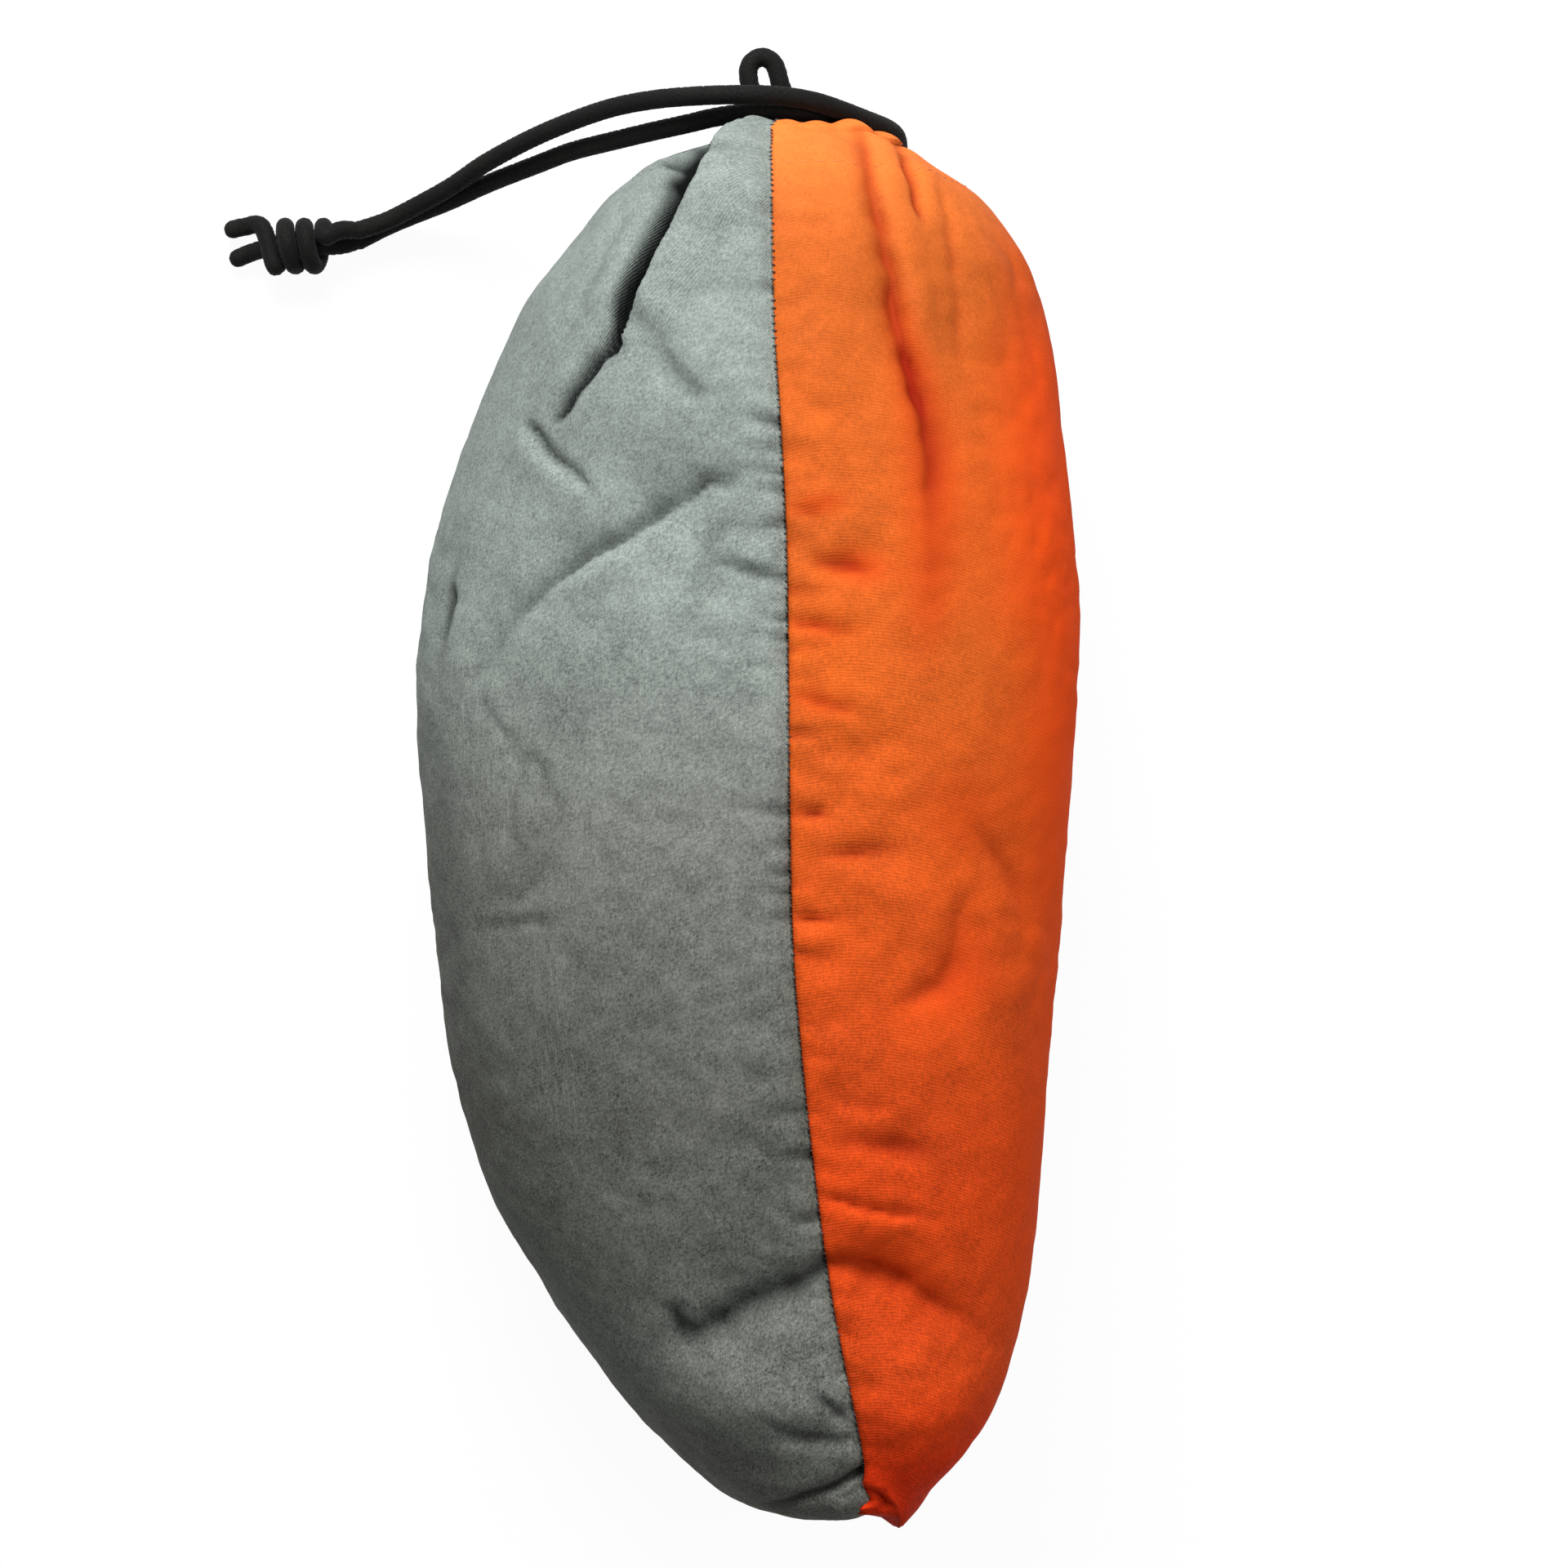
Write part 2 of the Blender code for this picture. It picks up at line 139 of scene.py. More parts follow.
def sections():
    """Rows of share, middle x, half width squared, seam offset, underside and top, from bottom to neck."""
    half = SACK_WIDTH / 2
    rows = []
    for share, left, right in EDGES:
        low, high = along(HEIGHTS, share)[0] * SACK_HEIGHT
        middle = half * (left + right) / 2
        offset = half * along(SEAM_LINE, share)[0, 0] - middle
        width_squared = (half * (right - left) / 2) ** 2 - offset**2 if rows else 0
        rows.append((share, middle, width_squared, offset, low, high))
    offset = NECK_SEAM_X - NECK_CENTRE[0]
    rows.append((1, NECK_CENTRE[0], NECK_RADIUS**2 - offset**2, offset,
                 NECK_CENTRE[1] - NECK_RADIUS, NECK_CENTRE[1] + NECK_RADIUS))
    return rows


SECTIONS = sections()
# How softly the underside flattens where it meets the floor
FLOOR_SOFTNESS = 0.003


def skin(share, angle, inset=0.0):
    """A grid of points on the smooth sack, or inside it: a row for each share, a column for each angle."""
    middle, width_squared, offset, low, high = along(SECTIONS, share).T[..., None]
    across = np.maximum(np.sqrt(np.maximum(width_squared, 0)) - inset, 0)
    tall = (high - low) / 2
    x = middle + across * np.cos(angle) + offset * (1 - inset / tall) * np.sin(angle)
    y = BOTTOM_Y + SACK_LENGTH * share[:, None] + 0 * angle
    z = (high + low) / 2 + (tall - inset) * np.sin(angle)
    z = (z + np.sqrt(z**2 + FLOOR_SOFTNESS**2)) / 2
    return np.stack([x, y, np.maximum(z, inset)], -1)


# Radius of the mouth's lip and its rise above the neck, from the outside over the crest and down the inside
LIP = (
    (15.6, 0.5),
    (15.0, 1.0),
    (14.2, 1.5),
    (13.2, 1.9),
    (12.0, 2.1),
    (10.8, 2.0),
    (9.8, 1.6),
    (8.9, 0.8),
    (8.2, -0.3),
    (7.8, -1.6),
    (7.6, -3.2),
    (7.6, -5.0),
    (7.6, -6.6),
)


def round_neck(radius, angle):
    """x and z of points round the middle of the neck, with the lean of its seam."""
    x = NECK_CENTRE[0] + radius * (np.cos(angle) + NECK_LEAN * np.sin(angle))
    return x, NECK_CENTRE[1] + radius * np.sin(angle)


def lip(angle):
    """The hem that turns over the mouth's edge and lines it."""
    radius, rise = np.array(LIP).T[..., None] * MM
    x, z = round_neck(radius, angle)
    return np.stack([x, TOP_Y + rise + 0 * angle, z], -1)


CLOTH_ROWS = 268
CLOTH_COLUMNS = 162
# How far the rows crowd towards both ends, and the columns towards the front seam
END_CROWDING = 0.35
SEAM_CROWDING = 0.52
SEAM_CROWDING_POWER = 2.2
GREY = -1
ORANGE = 1


def smooth_panel(side):
    """Half the sack before it is creased: rows from bottom seam to mouth, columns from front seam to back."""
    t = np.linspace(0, 1, CLOTH_ROWS)
    share = (1 - END_CROWDING) * t + END_CROWDING * (1 - np.cos(math.pi * t)) / 2
    spread = np.linspace(0, 1, CLOTH_COLUMNS)
    turn = (1 - SEAM_CROWDING) * spread + SEAM_CROWDING * spread**SEAM_CROWDING_POWER
    angle = math.pi / 2 - side * math.pi * turn
    panel = np.concatenate([skin(share, angle), lip(angle)])
    panel[..., 0] += side * SEAM_GAP
    return panel


CLOSED_ROWS = 3


def outward(panel, side):
    """Unit normals of a panel's grid. The first rows, which may close into a line, take the next row's."""
    normal = side * np.cross(np.gradient(panel, axis=1), np.gradient(panel, axis=0))
    normal[:CLOSED_ROWS] = normal[CLOSED_ROWS]
    return normal / np.maximum(np.linalg.norm(normal, axis=-1, keepdims=True), 1e-12)


def run_length(panel, axis):
    """Length along the cloth from the panel's first row or column, at each of its points."""
    steps = np.linalg.norm(np.diff(panel, axis=axis), axis=-1)
    start = np.zeros_like(np.take(steps, [0], axis=axis))
    return np.concatenate([start, np.cumsum(steps, axis=axis)], axis=axis)


def smooth_path(rows, pieces=24):
    """Points on a smooth curve through the rows."""
    knots = np.array(rows, float)
    ends = np.vstack([2 * knots[0] - knots[1], knots, 2 * knots[-1] - knots[-2]])
    s = np.linspace(0, 1, pieces, endpoint=False)[:, None]
    spans = []
    for a, b, c, d in zip(ends, ends[1:], ends[2:], ends[3:], strict=False):
        spans.append(b + ((c - a) * s + (2 * a - 5 * b + 4 * c - d) * s**2
                          + (3 * b - a - 3 * c + d) * s**3) / 2)
    return np.vstack([*spans, knots[-1:]])


# A fold's wander: mm in its line and share of its depth, and the length of its waves in mm. Without a seed it
# would differ from run to run.
FOLD_WANDER = 0.54
WANDER_LENGTH = 4.5
WANDER_LEVEL = 0.7
WANDER_SEED = 208
noise.seed_set(WANDER_SEED)


def wandering(path):
    """A fold's path with a natural wander in its line and its depth."""
    waves = [Vector((x / WANDER_LENGTH, y / WANDER_LENGTH, WANDER_LEVEL)) for x, y in path[:, :2]]
    drift = FOLD_WANDER * np.array([noise.noise_vector(place) for place in waves])
    path = path.copy()
    path[:, :2] += drift[:, :2]
    path[:, 3] *= 1 + drift[:, 2]
    return path


def beside(panel, path, reach):
    """Which points lie near a fold's path. For each: how far left of the path's run it is, how far from the
    path, which way left lies, and the path's half width and depth there. reach is in half widths."""
    place = panel[..., :2] / MM
    margin = reach * path[:, 2].max()
    near = np.all((place > path[:, :2].min(0) - margin) & (place < path[:, :2].max(0) + margin), axis=-1)
    offset = place[near][:, None] - path[:, :2]
    nearest = np.argmin((offset**2).sum(-1), axis=1)
    offset = offset[np.arange(len(nearest)), nearest]
    run = np.gradient(path[:, :2], axis=0)[nearest]
    run /= np.linalg.norm(run, axis=1, keepdims=True)
    left = np.stack([-run[:, 1], run[:, 0]], -1)
    to_left, distance = (offset * left).sum(-1), np.linalg.norm(offset, axis=1)
    return near, to_left, distance, left, path[nearest, 2], path[nearest, 3]


def upward(facing):
    """1 where the cloth can be seen from above, falling to 0 on its underside."""
    return np.clip((facing[..., 2] + 0.1) / 0.35, 0, 1)


def bell(distance, reach):
    """1 at no distance, fading smoothly to nothing well past the reach."""
    return np.exp(-((distance / reach) ** 2))


# A crease's section in half widths: how fast its valley rises from a rounded bottom and where it ends, the
# place, width and end of the ridge on its left, the width of its shade, and how far it moves any cloth
VALLEY_RISE = 1.4
VALLEY_ROUNDING = 0.06
VALLEY_END = 4
RIDGE_PLACE = 3.6
RIDGE_WIDTH = 2.6
RIDGE_END = 7
SHADE_WIDTH = 0.7
CREASE_REACH = 8


def crease(panel, facing, rows, left=1.0, right=1.0, lift=0.0, dark=0.3):
    """A fold pressed into the cloth, as moves in mm and painted shade. Each row is x, y, half width and depth
    in mm.
    left and right scale the width on each side of the fold's run, lift raises the cloth on its left, and dark
    is how much painted shade darkens its valley."""
    near, to_left, distance, _, width, depth = beside(panel, wandering(smooth_path(rows)), CREASE_REACH)
    across = distance / (width * np.where(to_left > 0, left, right))
    from_bottom = np.sqrt(across**2 + VALLEY_ROUNDING) - math.sqrt(VALLEY_ROUNDING)
    valley = np.exp(-VALLEY_RISE * from_bottom) * bell(across, VALLEY_END)
    to_ridge = to_left - RIDGE_PLACE * width * left
    ridge = bell(to_ridge, RIDGE_WIDTH * width) * bell(distance, RIDGE_END * width)
    push = np.zeros(panel.shape[:2])
    shade = np.zeros(panel.shape[:2])
    push[near] = depth * (lift * ridge - valley)
    shade[near] = dark * np.clip(depth, 0, 1) * bell(across, SHADE_WIDTH)
    seen = upward(facing)
    return facing * (push * seen)[..., None], shade * seen


# A tuck's section, from the cloth on its open side to the cloth that laps over it: place across it in half
# widths, where the fold carries that place, and its rise in depths
TUCK_SECTION = (
    (-3.40, -3.40, 0.00),
    (-2.50, -2.45, 0.08),
    (-1.90, -1.82, 0.08),
    (-1.50, -1.44, -0.03),
    (-1.15, -1.14, -0.22),
    (-0.85, -0.86, -0.52),
    (-0.45, -0.44, -0.86),
    (0.00, 0.25, -1.00),
    (0.45, 0.70, -0.82),
    (0.80, 0.55, -0.42),
    (1.10, 0.12, -0.12),
    (1.35, 0.00, 0.06),
    (1.70, 0.42, 0.15),
    (2.40, 1.65, 0.13),
    (3.40, 3.40, 0.00),
)
TUCK_EDGE = TUCK_SECTION[-1][0]
# How far a tuck moves any cloth and runs out past its end, in half widths, how much of the cloth's rise is
# straight up, and how much painted shade darkens its inside, from none to the whole between two depths
TUCK_REACH = 4
TUCK_END = 1.2
TUCK_UPRIGHT = 1.02
TUCK_DARK = 0.93
TUCK_DARK_DEPTHS = (0.02, 0.47)


def tuck(panel, facing, rows):
    """A deep fold with the cloth on its left lapped over it up to the path, as moves in mm and painted shade.
    """
    near, to_left, distance, left, width, depth = beside(panel, smooth_path(rows), TUCK_REACH)
    section = smooth_path(TUCK_SECTION, 8)
    places = np.maximum.accumulate(section[:, 0])
    place = to_left / width
    carried = np.where(np.abs(place) < TUCK_EDGE, np.interp(place, places, section[:, 1]), place)
    rise = np.interp(place, places, section[:, 2])
    past_end = np.sqrt(np.maximum(distance**2 - to_left**2, 0))
    hold = bell(past_end, TUCK_END * width) * np.clip(depth, 0, 1) * upward(facing)[near]
    lean = facing[near] + (0, 0, TUCK_UPRIGHT)
    lean /= np.linalg.norm(lean, axis=1, keepdims=True)
    move = np.zeros(panel.shape)
    shade = np.zeros(panel.shape[:2])
    move[near] = lean * (rise * depth * hold)[:, None]
    move[near, :2] += left * ((carried - place) * width * hold)[:, None]
    shade[near] = TUCK_DARK * hold * np.interp(-rise, TUCK_DARK_DEPTHS, (0, 1))
    return move, shade


def swell(panel, facing, x, y, wide, long, height):
    """A soft bulge or hollow, in mm."""
    place = panel[..., :2] / MM
    return upward(facing) * height * bell(place[..., 0] - x, wide) * bell(place[..., 1] - y, long)


def in_waves(panel, size, seed):
    """The panel's points in waves of a noise. size is a wave's size across and along, in mm."""
    across, length = size
    return [Vector(p) + Vector((seed, 0, 0)) for p in panel.reshape(-1, 3) / MM / (across, length, across)]


def ripple(panel, size, seed):
    """Smooth noise over the cloth, from -1 to 1."""
    return np.array([noise.noise(place) for place in in_waves(panel, size, seed)]).reshape(panel.shape[:2])


def crumple(panel, size, seed):
    """Sharp little creases all over the cloth, from about -1 to 1."""
    rough = [noise.turbulence(place, 3, True) for place in in_waves(panel, size, seed)]
    rough = np.array(rough).reshape(panel.shape[:2])
    return (rough - rough.mean()) / rough.std()


# Heights in mm of the soft waves all over the cloth, of the finer ones that gather beside the front seam and
# of its sharp little creases, each with its size, or its reach from that seam, in mm
BROAD_WAVE, BROAD_SIZE = 0.45, (21, 30)
SMALL_WAVE, SMALL_SIZE = 0.18, (7, 11)
FINE_WAVE, FINE_SIZE = 0.07, (4.5, 3.2)
SEAM_WAVE, SEAM_WAVE_REACH = 0.22, 14
CRUMPLE, CRUMPLE_SIZE = 0.03, (13, 10)
CRUMPLED_PATCH, PATCH_SIZE = 0.09, (38, 30)
SEAM_CRUMPLE, SEAM_CRUMPLE_REACH = 0.09, 16


def uneven(panel, from_seam, seed):
    """The unevenness of used cloth, in mm."""
    push = BROAD_WAVE * ripple(panel, BROAD_SIZE, seed) + SMALL_WAVE * ripple(panel, SMALL_SIZE, seed + 5)
    fine = FINE_WAVE + SEAM_WAVE * bell(from_seam, SEAM_WAVE_REACH)
    push += fine * ripple(panel, FINE_SIZE, seed + 7)
    patches = CRUMPLED_PATCH * np.clip(0.5 + 1.4 * ripple(panel, PATCH_SIZE, seed + 3), 0, 1)
    sharp = CRUMPLE + patches + SEAM_CRUMPLE * bell(from_seam, SEAM_CRUMPLE_REACH)
    return push + sharp * crumple(panel, CRUMPLE_SIZE, seed + 9)


def pucker(from_seam, length_y, y, reach, depth, width, slant):
    """A short pinch that runs out from a seam, in mm."""
    line = length_y - y - slant * from_seam
    return -depth * bell(line, width) * bell(from_seam, reach)


# The small pinches of the front seam: how many, from where to where along it, and the limits of each one's
# shift along it, reach, depth, width and slant
SEAM_PUCKERS = 58
PUCKERED = (-116, 100)
PUCKER_LIMITS = ((-2.2, 2.2), (1.8, 5.0), (0.05, 0.45), (0.5, 0.9), (-0.35, 0.35))
# Above 1, this makes shallow pinches more common than deep ones
SHALLOWER = 1.2


def seam_puckers(from_seam, y, placed, seed):
    """The pinches along the front seam: those listed and many small ones between them."""
    pick = np.random.default_rng(seed)
    push = sum(pucker(from_seam, y, *row) for row in placed)
    for place in np.linspace(*PUCKERED, SEAM_PUCKERS):
        shift, reach, depth, width, slant = (pick.uniform(*limits) for limits in PUCKER_LIMITS)
        push = push + pucker(from_seam, y, place + shift, reach, depth**SHALLOWER, width, slant)
    return push


PLEATS = 10
PLEAT_HEIGHT = 0.8
PLEAT_REACH = 34
LIP_ROWS = len(LIP)
SAG_REACH = 14
# Where the mouth's edge sags between its gathers: degrees round the neck, spread in degrees, and depth in mm
MOUTH_DIPS = (
    (158, 22, 1.5),
    (93, 6, 0.3),
    (66, 9, 0.4),
    (46, 16, -1.0),
)


def pleats(panel, seed):
    """Gathers round the neck that open out down the shoulder, and the sag of the mouth's edge, in mm."""
    x, y, z = np.moveaxis(panel / MM, -1, 0)
    angle = np.arctan2(z - NECK_CENTRE[1] / MM, x - NECK_CENTRE[0] / MM)
    below = TOP_Y / MM - y
    turn = PLEATS * angle + 0.9 * np.sin(3 * angle + seed) + 0.6 * np.sin(5 * angle + 2 * seed)
    under = np.clip(0.65 - 0.5 * np.sin(angle), 0.2, 1)
    wave = PLEAT_HEIGHT * np.cos(turn) * np.clip(1 - below / PLEAT_REACH, 0, 1) ** 2 * under
    inside = np.linspace(1, 0, LIP_ROWS) ** 0.7
    wave[-LIP_ROWS:] *= inside[:, None]
    sag = sum(depth * bell(np.degrees(angle) - place, spread) for place, spread, depth in MOUTH_DIPS)
    return wave, sag * np.clip(1 - below / SAG_REACH, 0, 1) ** 2


# The bottom seam's folded corner, in mm: the height of its foot and of its rise, and how far it is set back
CORNER_FOOT = 34
CORNER_HEIGHT = 25
CORNER_SET_BACK = 3.7


def corner_rise(z):
    """How far up the bottom seam's folded corner a height lies, from 0 to 1."""
    return np.clip((z / MM - CORNER_FOOT) / CORNER_HEIGHT, 0, 1)


# How far the orange cloth laps over the grey at the corner and stands up there, in mm
CORNER_LAP = 5.4
CORNER_TIP = 0.7
# How far the orange corner's outer edge draws in: mm, and over what rise from the bottom
DRAWN_IN = ((1.0, 3.5), (1.8, 18), (0.8, 45))


def folded_corner(u, v, rise, set_back):
    """The bottom corner, where the orange cloth folds over the grey and its outer edge draws in, in mm. u and
    v are mm along the cloth from the front seam and from the bottom."""
    move = np.zeros((*u.shape, 3))
    lap = CORNER_LAP * bell(v, 3.6) * bell(u, 4.5)
    off_seam = 1 - bell(rise, 0.5)
    drawn_in = sum(amount * bell(rise, reach) for amount, reach in DRAWN_IN)
    move[..., 0] -= lap + np.clip((u - 1.5) / 6, 0, 1) * off_seam * drawn_in
    move[..., 1] += 0.5 * np.clip(1 - u / 4, 0, 1) * bell(v, 6)
    move[..., 1] -= set_back * np.clip((u - 4) / 5, 0, 1) * off_seam
    move[..., 2] += 0.25 * lap + CORNER_TIP * bell(v, 5) * bell(u, 4)
    return move


# How far the grey cloth slumps out above the bottom seam, along X and Y, and how far the orange cloth presses
# it in at the corner, along Y and Z, in mm
SLUMP = (-1.1, -0.4)
LAPPED = (2.2, -1.3)


def lapped_corner(u, v, corner):
    """The bottom corner under the orange cloth, and the slump of the grey cloth beside it, in mm."""
    move = np.zeros((*u.shape, 3))
    slump = bell(v - 18, 20) * (1 - bell(v, 4)) * np.clip(u / 18, 0, 1)
    move[..., :2] += slump[..., None] * SLUMP
    move[..., 1:] += (corner * bell(u, 4.5) * bell(v, 5))[..., None] * LAPPED
    return move


def softened(values, reach):
    """A grid's values averaged over their neighbours."""
    weights = np.hanning(2 * reach + 1)
    weights /= weights.sum()

    def smooth(row):
        return np.convolve(np.pad(row, reach, mode="edge"), weights, "valid")

    return np.apply_along_axis(smooth, 1, np.apply_along_axis(smooth, 0, values))


# How far the seams draw the cloth in, in mm, and the reach of that
FRONT_REACH = 1.3
BACK_DIP, BACK_REACH = 0.8, 1.8
BOTTOM_DIP, BOTTOM_REACH = 0.7, 1.6
ORANGE_EDGE_DIP, ORANGE_EDGE_REACH = 0.75, 0.4
SET_BACK_REACH = 9
# How far the cloth rolls up beside the front seam, where and how widely, in mm
FRONT_ROLL, ROLL_PLACE, ROLL_REACH = 0.35, 5, 3.5
# How far from the front seam tucks and swells come to their full height, the share of a swell at the seam
# itself, and how far from the bottom the small waves come to theirs, in mm
TUCK_FREE = 5
SWELL_FREE = 12
SWELL_AT_SEAM = 0.35
WAVES_FREE = 6
# How much painted shade the seam's pinches get, and how far round a point, in grid points, the cloth's level
# is averaged to paint shade into its hollows
PUCKER_SHADE = 0.55
HOLLOW_REACH = 8


def folded_cloth(side, folds, tucks, swells, puckers, seam_dip, seam_lap, hollow_shade, seed):
    """A panel with all its folds, how far round and along the cloth each point lies, and the painted shade of
    its folds, pinches and hollows.
    """
    panel = smooth_panel(side)
    facing = outward(panel, side)
    from_seam = run_length(panel, 1)
    from_bottom = run_length(panel, 0)
    u, v = from_seam / MM, from_bottom / MM
    body = np.ones(panel.shape[:2])
    body[-LIP_ROWS:] = 0
    over_lip = np.ones(panel.shape[:2])
    over_lip[-LIP_ROWS:] = np.linspace(1, 0, LIP_ROWS)[:, None]
    move = np.zeros_like(panel)
    shade = np.zeros(panel.shape[:2])
    pressed = [(crease(panel, facing, rows, **options), body) for rows, options in folds]
    pressed += [(tuck(panel, facing, rows), np.clip(u / TUCK_FREE, 0, 1) * over_lip) for rows in tucks]
    for (fold_move, fold_shade), free in pressed:
        move += fold_move * free[..., None]
        shade += fold_shade * free

    push, sag = pleats(panel, seed)
    move[..., 1] -= sag
    for row in swells:
        push += swell(panel, facing, *row) * body * np.clip(SWELL_AT_SEAM + u / SWELL_FREE, 0, 1)
    push += np.clip(v / WAVES_FREE, 0, 1) * body * uneven(panel, u, seed)
    pinched = seam_puckers(u, panel[..., 1] / MM, puckers, int(seed)) * body
    push += pinched
    shade -= PUCKER_SHADE * pinched

    at_seam = bell(u, FRONT_REACH) * np.where(body > 0, 1, 0.5)
    move[..., 0] -= seam_lap * at_seam
    push += FRONT_ROLL * bell(u - ROLL_PLACE, ROLL_REACH) * body - seam_dip * at_seam
    push -= BACK_DIP * bell(u[:, -1:] - u, BACK_REACH) * body
    push -= BOTTOM_DIP * bell(v, BOTTOM_REACH)
    corner = corner_rise(panel[..., 2])
    set_back = CORNER_SET_BACK * corner * bell(v, SET_BACK_REACH)
    move[..., 1] += set_back
    if side == ORANGE:
        move += folded_corner(u, v, (panel[..., 1] - BOTTOM_Y) / MM, set_back)
        push -= ORANGE_EDGE_DIP * bell(u, ORANGE_EDGE_REACH) * body
    else:
        move += lapped_corner(u, v, corner)

    relief = push + (move * facing).sum(-1)
    shade += hollow_shade * np.clip(softened(relief, HOLLOW_REACH) - relief, 0, 1) * body
    creased = panel + (facing * push[..., None] + move) * MM
    creased[..., 2] = np.maximum(creased[..., 2], CLOTH_THICKNESS / 4)
    creased[..., 1] = np.maximum(creased[..., 1], BOTTOM_Y)
    return creased, from_seam, from_bottom, np.clip(shade, 0, 1)
